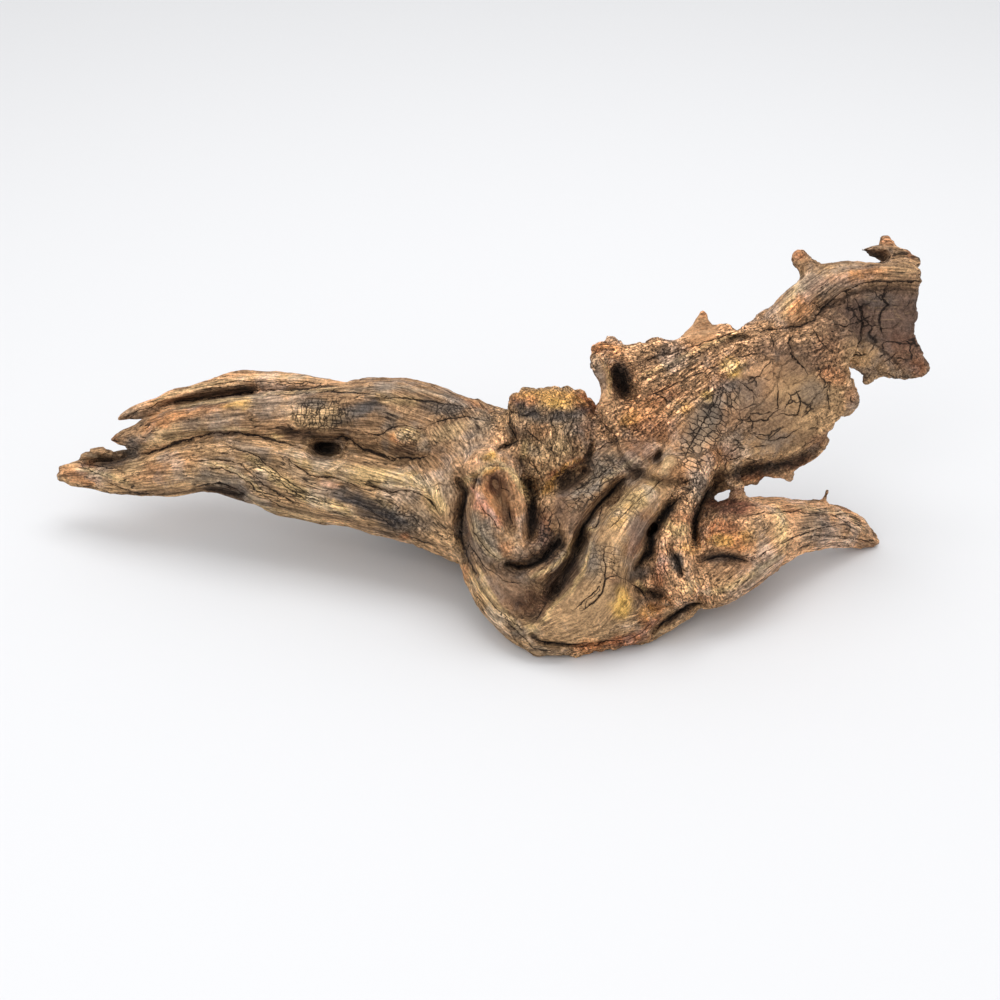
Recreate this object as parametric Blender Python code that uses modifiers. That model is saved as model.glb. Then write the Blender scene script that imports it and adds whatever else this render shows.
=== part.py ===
"""A weathered root log, grown as one piece: a split limb, a knotted belly, a cracked bark plate,
an arm that carries a bark sheet, and a low root. It is modelled as one closed solid.

The log is drawn as it is looked at. x runs right and y runs down over a drawing plane that leans
back under the line of sight, and depth runs towards the viewer. spot() turns a drawn place into a
real one, so that the log keeps its drawn outline for a viewer at VIEW_DISTANCE.
"""

import math

import bmesh
import bpy
import numpy as np
from mathutils import Matrix, Vector, noise

# Driving dimensions: the log is about LENGTH long, in metres, and is drawn DRAWN_LENGTH units long.
LENGTH = 0.43
DRAWN_LENGTH = 934.0
UNIT = LENGTH / DRAWN_LENGTH
LOOK_DOWN = math.radians(32.0)
VIEW_DISTANCE = 1700.0
EYE_X, EYE_Y = 500.0, 500.0
FLOOR_DROP = 131.4

# How finely the strands grow together, in drawing units, how often the skin is softened after they
# have grown together and after the furrows are pressed, and how many triangles are kept.
GROW_VOXEL = 2.6
GROWN_ROUNDS = 5
PRESSED_ROUNDS = 1
KEPT_TRIANGLES = 10600
RING_SIDES = 16
RINGS_PER_STOP = 4
LUMP_SIZE = 34.0
LUMP_HEIGHT = 2.6
# A furrow fades out at so many half widths, and wood takes its full depth once its surface is turned
# to the viewer by this share.
FURROW_FADE = 2.0
FULL_FACING = 1.0 / 3.0

# Strands of wood: x, y, depth, half width and half depth at each stop.
LIMB = {
    "upper_half": [
        (108, 439, -152, 4, 6), (122, 438, -152, 8, 10), (142, 437, -150, 17, 18),
        (172, 430, -146, 20, 26), (205, 422, -142, 22, 32), (245, 419, -139, 24, 36),
        (285, 418, -136, 28, 42), (325, 418, -130, 32, 46), (365, 418, -123, 38, 50),
        (400, 420, -114, 44, 54), (440, 433, -102, 44, 56), (480, 446, -88, 43, 56),
        (520, 464, -70, 44, 56),
    ],
    "lower_half": [
        (57, 479, -172, 2, 3), (64, 475, -171, 9, 8), (72, 474, -169, 12, 11), (84, 476, -166, 13, 13),
        (106, 478, -160, 14, 18), (132, 477, -152, 21, 24), (162, 472, -144, 24, 30),
        (200, 464, -136, 29, 36), (240, 464, -128, 34, 42), (280, 473, -122, 40, 48),
        (320, 482, -116, 41, 50), (360, 487, -108, 42, 52), (400, 496, -98, 45, 54),
        (440, 504, -84, 47, 54), (480, 520, -66, 50, 56),
    ],
    "slab": [
        (114, 421, -166, 2, 3), (122, 418, -168, 4, 6), (138, 413, -171, 8, 9),
        (158, 407, -175, 9, 12), (178, 400, -179, 13, 13), (200, 399, -181, 18, 14),
        (230, 395, -181, 23, 16), (262, 394, -176, 23, 20), (300, 397, -164, 23, 24),
        (340, 404, -150, 22, 26), (385, 414, -132, 22, 26),
    ],
    "chip": [
        (78, 460, -168, 2, 3), (90, 455, -170, 5, 6), (104, 452, -171, 5, 7), (110, 454, -170, 4, 6),
        (128, 460, -162, 9, 10), (150, 466, -152, 14, 14),
    ],
    "chip_bed": [
        (80, 464, -176, 4, 6), (98, 461, -178, 6, 8), (120, 460, -170, 9, 10), (144, 462, -158, 12, 12),
    ],
    "under_ridge": [
        (180, 474, -166, 10, 14), (230, 470, -168, 18, 20), (300, 480, -164, 24, 24),
        (370, 492, -156, 28, 28), (440, 510, -142, 34, 34), (510, 530, -120, 40, 40),
    ],
}

BODY = {
    "core": [
        (440, 452, -108, 40, 44), (500, 470, -100, 56, 58), (560, 500, -84, 72, 68),
        (620, 520, -74, 74, 66), (680, 540, -72, 56, 54), (730, 548, -72, 38, 42),
    ],
    "back": [
        (420, 440, -138, 34, 40), (480, 462, -130, 44, 52), (560, 462, -126, 48, 54),
        (640, 440, -108, 48, 50), (700, 415, -84, 48, 44), (760, 385, -80, 44, 36),
        (810, 350, -88, 38, 28),
    ],
    "shoulder": [
        (648, 424, -84, 26, 30), (652, 396, -66, 28, 34), (684, 372, -58, 28, 34), (726, 362, -58, 28, 34),
        (764, 350, -62, 24, 32),
    ],
    "left_wall": [
        (628, 432, -60, 24, 24), (622, 404, -52, 21, 22), (616, 382, -48, 16, 20), (610, 364, -46, 15, 18),
    ],
    "back_ridge": [
        (330, 440, -168, 14, 16), (420, 440, -176, 17, 18), (500, 452, -178, 20, 22),
        (580, 440, -176, 22, 22), (660, 412, -150, 20, 20), (730, 384, -124, 16, 16), (800, 348, -112, 10, 12),
    ],
    "back_fold": [
        (470, 500, -160, 24, 24), (540, 512, -150, 26, 28), (610, 506, -144, 26, 28),
        (680, 486, -126, 24, 26), (740, 440, -108, 18, 22), (780, 400, -100, 12, 14),
    ],
    "back_knot": [(606, 470, -146, 30, 28), (612, 462, -166, 24, 20), (616, 458, -182, 15, 12)],
    "back_lobe": [(640, 560, -96, 26, 26), (700, 540, -112, 24, 26), (760, 520, -118, 18, 20)],
    "belly": [
        (500, 520, -50, 46, 54), (530, 556, -38, 56, 54), (576, 574, -28, 56, 52),
        (626, 574, -28, 50, 48), (676, 566, -40, 44, 44),
    ],
    "heart": [(632, 500, -54, 40, 36), (664, 516, -50, 36, 38), (690, 548, -50, 30, 36)],
    "saddle": [
        (462, 470, -66, 18, 34), (492, 468, -52, 22, 38), (530, 472, -50, 22, 38), (572, 478, -56, 22, 36),
    ],
    "keel": [
        (400, 474, -112, 18, 28), (436, 488, -92, 20, 30), (458, 516, -66, 17, 28), (470, 548, -42, 16, 26),
        (483, 582, -24, 17, 24), (504, 612, -12, 18, 24), (534, 635, -2, 18, 24),
        (575, 639, 2, 16, 26), (620, 632, -4, 15, 26), (656, 622, -14, 15, 24),
        (690, 600, -26, 14, 24),
    ],
    "hump": [
        (556, 478, -42, 26, 24), (553, 456, -32, 32, 28), (550, 430, -36, 34, 32),
        (550, 412, -46, 30, 28), (551, 404, -52, 24, 22),
    ],
    "hump_left": [
        (528, 470, -50, 18, 26), (524, 446, -38, 21, 28), (524, 420, -44, 19, 28), (526, 406, -50, 18, 24),
    ],
    "hump_right": [
        (582, 462, -50, 18, 28), (578, 440, -46, 23, 34), (574, 420, -52, 21, 34), (571, 408, -56, 18, 26),
    ],
    "hump_crown": [
        (514, 402, -56, 9, 12), (526, 400, -54, 10, 14), (544, 397, -52, 10, 14),
        (560, 395, -54, 10, 14), (574, 402, -58, 10, 14), (586, 412, -62, 9, 14),
    ],
    "hump_bridge": [
        (566, 436, -56, 20, 32), (590, 434, -50, 18, 28), (608, 446, -46, 18, 26), (630, 460, -48, 18, 22),
    ],
    "hump_neck": [
        (470, 446, -84, 24, 30), (500, 440, -66, 24, 30), (524, 438, -52, 22, 30), (540, 446, -44, 20, 28),
    ],
    "hump_peak": [(556, 402, -56, 14, 12), (559, 392, -57, 8, 8), (560, 387, -57, 3, 4)],
    "stub": [
        (504, 556, -14, 21, 26), (503, 536, 3, 24, 26), (501, 512, 12, 27, 22),
        (498, 492, 16, 26, 18), (495, 477, 16, 20, 13), (494, 470, 12, 12, 8),
    ],
    "stub_brow": [
        (472, 478, -22, 11, 18), (482, 462, -28, 13, 20), (502, 456, -34, 13, 20), (526, 462, -34, 11, 20),
    ],
    "cheek": [
        (476, 492, -10, 10, 16), (480, 520, 2, 14, 18), (492, 546, 8, 16, 18),
        (514, 553, 6, 12, 18), (536, 546, 0, 11, 18), (548, 526, -4, 10, 18), (550, 500, -8, 12, 18),
    ],
    "bowl": [
        (476, 548, -12, 12, 18), (492, 578, -2, 16, 20), (516, 598, 2, 20, 22), (536, 612, 2, 14, 18),
    ],
    "lit_ridge": [
        (520, 584, 0, 9, 18), (546, 567, 6, 8, 20), (565, 546, 6, 8, 20),
        (572, 522, 2, 11, 20), (588, 500, -4, 14, 22), (618, 474, -18, 16, 26), (646, 452, -44, 15, 24),
        (664, 438, -80, 12, 16),
    ],
    "nodule": [(582, 532, 2, 5, 10), (593, 522, 4, 8, 12), (606, 506, 0, 9, 14)],
    "tan_fold": [
        (530, 631, 8, 6, 12), (548, 624, 12, 16, 18), (580, 610, 16, 30, 26),
        (606, 580, 18, 27, 30), (610, 550, 16, 23, 30), (630, 518, 8, 21, 30),
        (656, 490, -8, 19, 30), (680, 464, -34, 17, 28), (694, 450, -70, 14, 18),
    ],
    "tan_side": [
        (584, 628, 4, 17, 24), (624, 608, 4, 24, 26), (634, 576, 2, 15, 26), (642, 540, -6, 14, 28),
    ],
    "tan_base": [
        (544, 628, 8, 10, 16), (566, 620, 14, 20, 20), (600, 614, 14, 26, 22), (632, 604, 8, 20, 22),
    ],
    "knobby_ridge": [
        (714, 420, -66, 16, 16), (705, 448, -40, 20, 22), (697, 474, -22, 16, 22), (688, 497, -4, 13, 22),
        (678, 518, 6, 17, 22), (672, 546, 10, 20, 24), (676, 574, 8, 19, 24), (688, 596, -4, 14, 24),
    ],
    "inner_fold": [
        (556, 506, -12, 12, 20), (584, 482, -22, 14, 22), (612, 458, -34, 16, 24), (640, 436, -60, 14, 22),
    ],
}

ROOT = {
    "root": [
        (664, 594, -24, 24, 30), (700, 572, -34, 32, 36), (734, 547, -46, 46, 42),
        (766, 535, -66, 36, 36), (796, 530, -90, 26, 28), (824, 526, -118, 22, 22),
        (848, 528, -144, 19, 19), (864, 537, -162, 13, 14), (876, 541, -170, 6, 9),
    ],
    "root_crest": [
        (716, 518, -48, 16, 24), (744, 511, -58, 15, 26), (782, 511, -80, 13, 22),
        (826, 513, -120, 11, 16), (846, 518, -140, 10, 12), (860, 528, -154, 7, 9),
    ],
    "root_lip": [
        (700, 596, -16, 14, 18), (730, 588, -24, 14, 20), (756, 572, -40, 12, 20), (776, 556, -62, 10, 18),
    ],
    "root_eye": [
        (704, 540, -30, 14, 20), (724, 532, -22, 22, 22), (748, 530, -32, 26, 26), (776, 530, -62, 22, 22),
    ],
    "link": [(738, 500, -44, 9, 12), (736, 484, -44, 8, 12), (730, 468, -42, 12, 14)],
    "twig": [(816, 512, -116, 6, 6), (822, 501, -116, 3.6, 3.6), (827, 493, -114, 2.4, 2.4)],
    "back_foot": [
        (500, 470, -138, 38, 40), (474, 492, -162, 28, 30), (456, 506, -186, 20, 21),
        (446, 516, -204, 15, 16), (442, 522, -212, 13, 13),
    ],
}

ARM = {
    "arm_core": [
        (740, 382, -66, 40, 38), (786, 350, -66, 44, 38), (822, 326, -68, 44, 36),
        (852, 316, -74, 46, 33), (882, 318, -80, 48, 29), (906, 320, -84, 44, 23),
    ],
    "arm_ridge": [
        (744, 350, -40, 16, 22), (776, 327, -40, 17, 26), (803, 303, -42, 20, 26),
        (834, 280, -44, 19, 24), (872, 276, -50, 14, 22), (900, 271, -56, 13, 20), (911, 277, -60, 12, 17),
    ],
    "arm_nib": [(816, 277, -44, 13, 14), (803, 263, -46, 9, 10), (794, 253, -47, 6.5, 7.5)],
    "arm_prong": [
        (911, 268, -58, 11, 14), (904, 257, -60, 9, 12), (886, 251, -60, 7, 10), (868, 250, -58, 5.5, 9),
        (854, 249, -56, 2.5, 4),
    ],
    "arm_tip": [(892, 253, -66, 8, 8), (886, 243, -68, 8, 7), (885, 235, -69, 7, 6)],
    "arm_tooth": [(872, 362, -78, 12, 12), (870, 378, -80, 8, 8)],
    "crest": [
        (700, 352, -46, 28, 15), (701, 338, -48, 21, 11), (702, 325, -49, 12, 8), (703, 313, -49, 6, 6),
        (703, 307, -49, 2, 3),
    ],
    "crest_side": [(728, 346, -46, 17, 14), (724, 332, -46, 11, 9), (722, 321, -47, 5, 5)],
    "left_horn": [(620, 362, -50, 16, 14), (603, 350, -50, 10, 10), (594, 343, -48, 6, 7)],
    "left_tooth": [(618, 350, -56, 9, 10), (609, 337, -58, 4, 5)],
}

# Sheets of bark. Each has an outline, its middle as x, y and depth, the rise of its depth along x
# and along y, half the thickness of its rim, and how far its front and its back swell.
SHEETS = {
    "bark_plate": {
        "outline": [
            (590, 352), (592, 342), (604, 346), (622, 345), (640, 343), (660, 338), (674, 341),
            (690, 334), (706, 330), (728, 330), (748, 331), (774, 330), (802, 325), (818, 314),
            (832, 308), (850, 320), (860, 340), (851, 356), (846, 366), (849, 373), (854, 382),
            (859, 396), (854, 409), (843, 415), (830, 431),
            (818, 440), (804, 447), (794, 459), (770, 461), (745, 466), (726, 472), (708, 498),
            (690, 498), (683, 474), (660, 477), (645, 474), (632, 466), (619, 456), (616, 442),
            (606, 428), (598, 408), (601, 390), (598, 376), (590, 364),
        ],
        "middle": (724, 396, -34), "slopes": (-0.10, -0.28), "rim": 9, "swell": (13, 44),
    },
    "under_layer": {
        "outline": [
            (690, 440), (760, 420), (826, 436), (827, 449), (812, 460), (797, 471), (790, 481),
            (778, 477), (763, 475), (757, 482), (746, 487), (730, 490), (712, 494), (696, 486),
        ],
        "middle": (760, 456, -64), "slopes": (-0.03, -0.4), "rim": 9, "swell": (2, 14),
    },
    "arm_sheet": {
        "outline": [
            (800, 300), (830, 272), (866, 268), (905, 264), (920, 268), (922, 284), (917, 304),
            (920, 314), (913, 329), (918, 342), (928, 362), (926, 377), (906, 380), (890, 379),
            (879, 374), (872, 383), (864, 383), (862, 372), (846, 364), (836, 360), (812, 354),
            (790, 350), (782, 325),
        ],
        "middle": (868, 320, -53), "slopes": (-0.14, -0.42), "rim": 8, "swell": (3, 30),
    },
}
SHEET_RINGS = (1.0, 0.97, 0.86, 0.66, 0.4, 0.15)

# Furrows pressed into what faces the viewer: half width, depth, and the line as x, y.
FURROWS = {
    "split": (5, 7, [(136, 455), (160, 450), (178, 441), (200, 436), (233, 434), (272, 439), (300, 446)]),
    "split_hole": (8, 24, [(317, 449), (326, 449), (335, 448)]),
    "split_tail": (4.5, 7, [(340, 440), (350, 439), (362, 449), (380, 454), (400, 464)]),
    "low_split": (4.5, 6, [(283, 455), (300, 469), (330, 478), (361, 486), (400, 489), (428, 499), (441, 515)]),
    "long_split": (4.5, 5, [(230, 454), (260, 461), (280, 477), (300, 492), (322, 500)]),
    "slab_gap": (4, 6, [(176, 405), (200, 400), (230, 396), (256, 394)]),
    "waist": (6, 9, [(462, 482), (466, 496), (461, 512), (460, 530), (466, 560)]),
    "stub_scoop": (11, 13, [(495, 483), (499, 500), (505, 520)]),
    "under_stub": (6, 14, [(508, 562), (523, 564), (540, 558), (553, 547), (559, 536)]),
    "stub_side": (7, 12, [(533, 488), (533, 510), (534, 536)]),
    "hump_hollow": (11, 10, [(560, 484), (574, 486), (588, 480)]),
    "upper_gap": (5, 7, [(618, 483), (605, 497), (600, 508), (588, 520), (582, 534)]),
    "fold_gap": (9, 12, [(583, 546), (578, 562), (570, 577), (556, 590)]),
    "deep_gap": (7, 8, [(690, 488), (676, 506), (664, 522), (653, 540), (646, 556), (632, 576)]),
    "low_gap": (6, 10, [(632, 592), (642, 592), (652, 602)]),
    "root_gap": (6, 10, [(700, 486), (703, 500), (695, 520), (696, 542)]),
    "root_wedge": (6, 8, [(702, 558), (722, 558), (744, 560)]),
    "keel_gap": (5, 8, [(694, 606), (674, 614), (656, 630)]),
    "bowl_gap": (4, 5, [(466, 580), (490, 606), (520, 628), (545, 643), (600, 643), (640, 634)]),
    "plate_pocket": (10, 22, [(619, 372), (627, 388)]),
    "plate_edge": (5, 9, [(618, 462), (634, 474), (664, 484), (682, 484)]),
    "arm_hollow": (5, 16, [(862, 256), (884, 257)]),
    "arm_seam": (
        3, 3, [(764, 330), (802, 326), (820, 312), (840, 294), (860, 285), (884, 281), (916, 281)],
    ),
}

WOOD_BROWN = (0.27, 0.17, 0.09, 1.0)


def spot(x, y, depth):
    """The real place, in metres, of a drawn place."""
    reach = 1.0 - depth / VIEW_DISTANCE
    across = (x - EYE_X) * reach
    up = (EYE_Y - y) * reach
    return UNIT * Vector((
        across,
        up * math.sin(LOOK_DOWN) - depth * math.cos(LOOK_DOWN),
        FLOOR_DROP + up * math.cos(LOOK_DOWN) + depth * math.sin(LOOK_DOWN),
    ))


def drawn(places):
    """The drawn x and y of real places given as rows."""
    across, back, height = (places / UNIT).T
    height = height - FLOOR_DROP
    depth = height * math.sin(LOOK_DOWN) - back * math.cos(LOOK_DOWN)
    up = height * math.cos(LOOK_DOWN) + back * math.sin(LOOK_DOWN)
    reach = 1.0 - depth / VIEW_DISTANCE
    return np.stack((EYE_X + across / reach, EYE_Y - up / reach), axis=1)


def between(stops, i, t):
    """A point of the smooth curve through the stops, from stop i to stop i + 1."""
    a, b, c, d = (stops[min(max(k, 0), len(stops) - 1)] for k in (i - 1, i, i + 1, i + 2))
    place = []
    for p, q, r, s in zip(a, b, c, d):
        straight = 2 * q + (r - p) * t
        bent = (2 * p - 5 * q + 4 * r - s) * t ** 2 + (3 * q - p - 3 * r + s) * t ** 3
        place.append((straight + bent) / 2)
    return place


def new_object(name, mesh):
    """An object made from a bmesh, its faces pointing out."""
    bmesh.ops.recalc_face_normals(mesh, faces=mesh.faces)
    data = bpy.data.meshes.new(name)
    mesh.to_mesh(data)
    mesh.free()
    made = bpy.data.objects.new(name, data)
    wood.objects.link(made)
    return made


def skinned(name, rings):
    """A closed skin over rings of places that all have the same count."""
    mesh = bmesh.new()
    rows = [[mesh.verts.new(place) for place in ring] for ring in rings]
    for low, high in zip(rows, rows[1:]):
        for k, corner in enumerate(low):
            n = (k + 1) % len(low)
            mesh.faces.new((corner, low[n], high[n], high[k]))
    mesh.faces.new(rows[0])
    mesh.faces.new(rows[-1])
    return new_object(name, mesh)


def strand(name, stops):
    """A tube of oval rings along the smooth curve through the stops."""
    steps = [(i, k / RINGS_PER_STOP) for i in range(len(stops) - 1) for k in range(RINGS_PER_STOP)]
    line = [between(stops, i, t) for i, t in steps] + [list(stops[-1])]
    rings = []
    for i, (x, y, depth, half_width, half_depth) in enumerate(line):
        before, after = line[max(i - 1, 0)], line[min(i + 1, len(line) - 1)]
        along = Vector([after[k] - before[k] for k in range(3)]).normalized()
        across = Vector((along.y, -along.x, 0)).normalized()
        through = across.cross(along)
        ring = []
        for k in range(RING_SIDES):
            turn = 2 * math.pi * k / RING_SIDES
            offset = across * half_width * math.cos(turn) + through * half_depth * math.sin(turn)
            ring.append(spot(x + offset.x, y + offset.y, depth + offset.z))
        rings.append(ring)
    return skinned(name, rings)


def sheet(name, outline, middle, slopes, rim, swell):
    """A sheet with the drawn outline, a thin rim and a swollen front and back."""
    rings = []
    front = [(factor, rim + swell[0] * (1 - factor ** 2)) for factor in SHEET_RINGS]
    back = [(factor, -rim - swell[1] * (1 - factor ** 2)) for factor in SHEET_RINGS]
    for factor, lift in reversed(front):
        rings.append(sheet_ring(outline, middle, slopes, factor, lift))
    for factor, lift in back:
        rings.append(sheet_ring(outline, middle, slopes, factor, lift))
    return skinned(name, rings)


def sheet_ring(outline, middle, slopes, factor, lift):
    """The outline drawn in towards the middle and lifted off the sheet's slope."""
    ring = []
    for x, y in outline:
        across, down = (x - middle[0]) * factor, (y - middle[1]) * factor
        depth = middle[2] + slopes[0] * across + slopes[1] * down + lift
        ring.append(spot(middle[0] + across, middle[1] + down, depth))
    return ring


def grown_together(pieces):
    """One skin round all the pieces, softened a little."""
    for piece in bpy.data.objects:
        piece.select_set(piece in pieces)
    bpy.context.view_layer.objects.active = pieces[0]
    bpy.ops.object.join()
    joined = bpy.context.view_layer.objects.active
    return close_up(joined, GROWN_ROUNDS)


def close_up(made, rounds):
    """One even skin round the object, softened for so many rounds."""
    remesh = made.modifiers.new("close_up", "REMESH")
    remesh.mode = "VOXEL"
    remesh.voxel_size = GROW_VOXEL * UNIT
    soften = made.modifiers.new("soften", "SMOOTH")
    soften.iterations = rounds
    return applied(made)


def applied(made):
    """The object with its modifiers worked into its mesh."""
    evaluated = made.evaluated_get(bpy.context.evaluated_depsgraph_get())
    data = bpy.data.meshes.new_from_object(evaluated)
    made.modifiers.clear()
    made.data = data
    return made


def distance_to_line(places, line):
    """How far each drawn place is from a drawn line."""
    nearest = np.full(len(places), np.inf)
    for start, end in zip(line, line[1:]):
        start, step = np.array(start, float), np.subtract(end, start).astype(float)
        part = np.clip((places - start) @ step / (step @ step), 0, 1)
        nearest = np.minimum(nearest, np.linalg.norm(places - start - part[:, None] * step, axis=1))
    return nearest


def press_furrows(made):
    """Pushes the surface that faces the viewer back along the furrows, with low lumps all over."""
    data = made.data
    places = np.empty(len(data.vertices) * 3)
    data.vertices.foreach_get("co", places)
    places = places.reshape(-1, 3)
    normals = np.empty(len(data.vertices) * 3)
    data.vertices.foreach_get("normal", normals)
    normals = normals.reshape(-1, 3)
    lumps = np.array([noise.noise(Vector(place) / (LUMP_SIZE * UNIT)) for place in places])
    flat = drawn(places)
    facing = np.array((0, -math.cos(LOOK_DOWN), math.sin(LOOK_DOWN)))
    fronting = np.clip(normals @ facing / FULL_FACING, 0, 1)
    push = np.zeros(len(places))
    for half_width, depth, line in FURROWS.values():
        near = np.clip(1 - distance_to_line(flat, line) / (FURROW_FADE * half_width), 0, 1)
        push = np.maximum(push, depth * near * near * (3 - 2 * near))
    places += normals * (lumps * LUMP_HEIGHT * UNIT)[:, None]
    places -= facing * (push * fronting * UNIT)[:, None]
    data.vertices.foreach_set("co", places.ravel())
    data.update()
    close_up(made, PRESSED_ROUNDS)


def thinned(made, count):
    """The object with about so many triangles."""
    thin = made.modifiers.new("thin", "DECIMATE")
    made.data.calc_loop_triangles()
    thin.ratio = count / len(made.data.loop_triangles)
    return applied(made)


def stood_on_floor(made):
    """Cuts the lowest wood flat at the floor and centres the log over the origin."""
    mesh = bmesh.new()
    mesh.from_mesh(made.data)
    everything = mesh.verts[:] + mesh.edges[:] + mesh.faces[:]
    cut = bmesh.ops.bisect_plane(mesh, geom=everything, plane_co=(0, 0, 0), plane_no=(0, 0, -1),
                                 clear_outer=True, dist=1e-6)
    rims = [item for item in cut["geom_cut"] if isinstance(item, bmesh.types.BMEdge)]
    bmesh.ops.holes_fill(mesh, edges=rims)
    bmesh.ops.triangulate(mesh, faces=[face for face in mesh.faces if len(face.verts) > 3])
    mesh.to_mesh(made.data)
    mesh.free()
    corners = [Vector(corner) for corner in made.bound_box]
    middle = (corners[0] + corners[6]) / 2
    made.data.transform(Matrix.Translation((-middle.x, -middle.y, 0)))
    return -middle.x, -middle.y


for old in list(bpy.data.objects):
    bpy.data.objects.remove(old)

wood = bpy.data.collections.new("driftwood_log")
bpy.context.scene.collection.children.link(wood)

strands = [strand(name, stops) for group in (LIMB, BODY, ROOT, ARM) for name, stops in group.items()]
sheets = [sheet(name, **facts) for name, facts in SHEETS.items()]
log = grown_together(strands + sheets)
log.name = "driftwood_log"
press_furrows(log)
thinned(log, KEPT_TRIANGLES)
moved_x, moved_y = stood_on_floor(log)

material = bpy.data.materials.new("weathered_wood")
material.use_nodes = True
surface = material.node_tree.nodes["Principled BSDF"]
surface.inputs["Base Color"].default_value = WOOD_BROWN
surface.inputs["Roughness"].default_value = 0.85
surface.inputs["Metallic"].default_value = 0.0
log.data.materials.clear()
log.data.materials.append(material)
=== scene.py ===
# %% [markdown]
# # A weathered root log for an aquarium
#
# The log is one piece of wood: a long limb that ends in a split tip, a knotted middle of folds and
# hollows, a plate of cracked bark that climbs to an arm, and a low root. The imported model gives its
# size and its main forms. This lesson gives it the finish of old wood: splits, folds, knots, bark
# blocks and grain that are cut into the mesh, and colours that follow the grain.

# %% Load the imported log
import itertools
import math

import bpy
import numpy as np
from mathutils import Matrix, Vector


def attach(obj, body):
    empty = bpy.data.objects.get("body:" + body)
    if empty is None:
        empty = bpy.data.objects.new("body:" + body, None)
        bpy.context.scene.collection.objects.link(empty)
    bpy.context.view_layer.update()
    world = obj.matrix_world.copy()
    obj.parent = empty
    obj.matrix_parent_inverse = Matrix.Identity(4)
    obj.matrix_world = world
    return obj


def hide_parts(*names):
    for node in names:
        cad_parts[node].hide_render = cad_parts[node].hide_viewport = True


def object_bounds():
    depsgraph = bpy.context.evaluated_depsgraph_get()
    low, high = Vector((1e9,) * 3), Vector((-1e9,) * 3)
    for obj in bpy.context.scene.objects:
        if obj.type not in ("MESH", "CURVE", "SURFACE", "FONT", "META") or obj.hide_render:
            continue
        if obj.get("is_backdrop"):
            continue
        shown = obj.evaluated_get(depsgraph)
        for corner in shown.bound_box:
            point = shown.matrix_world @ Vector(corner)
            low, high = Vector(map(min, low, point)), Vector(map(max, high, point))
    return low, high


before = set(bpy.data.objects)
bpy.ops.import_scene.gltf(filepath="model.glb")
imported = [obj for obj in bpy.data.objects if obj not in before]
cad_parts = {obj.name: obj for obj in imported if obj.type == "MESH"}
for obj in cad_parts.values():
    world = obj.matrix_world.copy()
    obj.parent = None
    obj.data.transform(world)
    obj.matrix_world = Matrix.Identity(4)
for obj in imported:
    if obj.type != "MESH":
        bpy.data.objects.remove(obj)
cad_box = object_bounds()
solid_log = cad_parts["driftwood_log"]
bpy.ops.object.select_all(action="DESELECT")
print("The log measures", [round(1000 * side) for side in cad_box[1] - cad_box[0]], "mm")

# %% [markdown]
# ## The drawing plane
#
# The log is drawn as it is looked at: x runs right and y runs down over a plane that leans back
# under the line of sight, and depth runs towards the viewer. A split that is drawn on that plane
# lands on the wood where the viewer sees it. The same numbers place the camera, so the drawing and
# the picture agree.

# %% The drawing plane
# One drawn unit in metres. The distance, the drawing's middle and the floor's drop are in such units.
UNIT = 0.43 / 934.0
LOOK_DOWN = math.radians(32.0)
VIEW_DISTANCE = 1700.0
EYE = 500.0
FLOOR_DROP = 131.4
CENTRED = np.array((0.009394, -0.032072, 0.0))
TO_VIEWER = np.array((0.0, -math.cos(LOOK_DOWN), math.sin(LOOK_DOWN)))
UP_SLOPE = np.array((0.0, math.sin(LOOK_DOWN), math.cos(LOOK_DOWN)))
RIGHT = np.array((1.0, 0.0, 0.0))


def drawn(places):
    """The drawn x, y and depth of real places given as rows."""
    loose = (places - CENTRED) / UNIT
    loose[:, 2] -= FLOOR_DROP
    depth = loose @ TO_VIEWER
    reach = 1.0 - depth / VIEW_DISTANCE
    return np.stack((EYE + loose[:, 0] / reach, EYE - loose @ UP_SLOPE / reach, depth), axis=1)


def real(stops):
    """The real places of drawn x, y and depth given as rows."""
    stops = np.array(stops, float)
    reach = 1.0 - stops[:, 2] / VIEW_DISTANCE
    across, up = (stops[:, 0] - EYE) * reach, (EYE - stops[:, 1]) * reach
    loose = across[:, None] * RIGHT + up[:, None] * UP_SLOPE + stops[:, 2][:, None] * TO_VIEWER
    loose[:, 2] += FLOOR_DROP
    return loose * UNIT + CENTRED


corner = drawn(np.array([cad_box[1]]))[0]
print("Drawn, the box's top right back corner is at", corner.round())

# %% [markdown]
# ## A fine skin
#
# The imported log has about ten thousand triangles, each some 5 mm long, too coarse for a split that
# is 1 mm wide. A copy is merged, remeshed into an even net of small squares, and smoothed until the
# flat facets are gone. A multiresolution sculpt would do this by hand; here the places are known in
# numbers, so a net that is even all over is the simpler start.

# %% Copy the log and give it a fine skin
SKIN = 0.00074
log = solid_log.copy()
log.data = solid_log.data.copy()
log.name = log.data.name = "weathered_log"
log.parent = None
bpy.context.scene.collection.objects.link(log)
bpy.context.view_layer.objects.active = log
log.select_set(True)


def apply_modifier(kind, **settings):
    """Adds a modifier to the log and works it into the mesh."""
    modifier = log.modifiers.new(kind.lower(), kind)
    for name, value in settings.items():
        setattr(modifier, name, value)
    bpy.ops.object.modifier_apply(modifier=modifier.name)


bpy.ops.object.mode_set(mode="EDIT")
bpy.ops.mesh.select_all(action="SELECT")
bpy.ops.mesh.remove_doubles(threshold=1e-6)
bpy.ops.object.mode_set(mode="OBJECT")
apply_modifier("REMESH", mode="VOXEL", voxel_size=SKIN)
apply_modifier("SMOOTH", iterations=16)
print("The skin has", len(log.data.vertices), "points")

# %% [markdown]
# ## A twig on the root
#
# One thin twig stands on the low root. The smoothing above would wear it away, so it comes after it:
# a slim cone is joined to the log with its foot sunk in, and the next remesh makes the two one skin.

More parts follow.
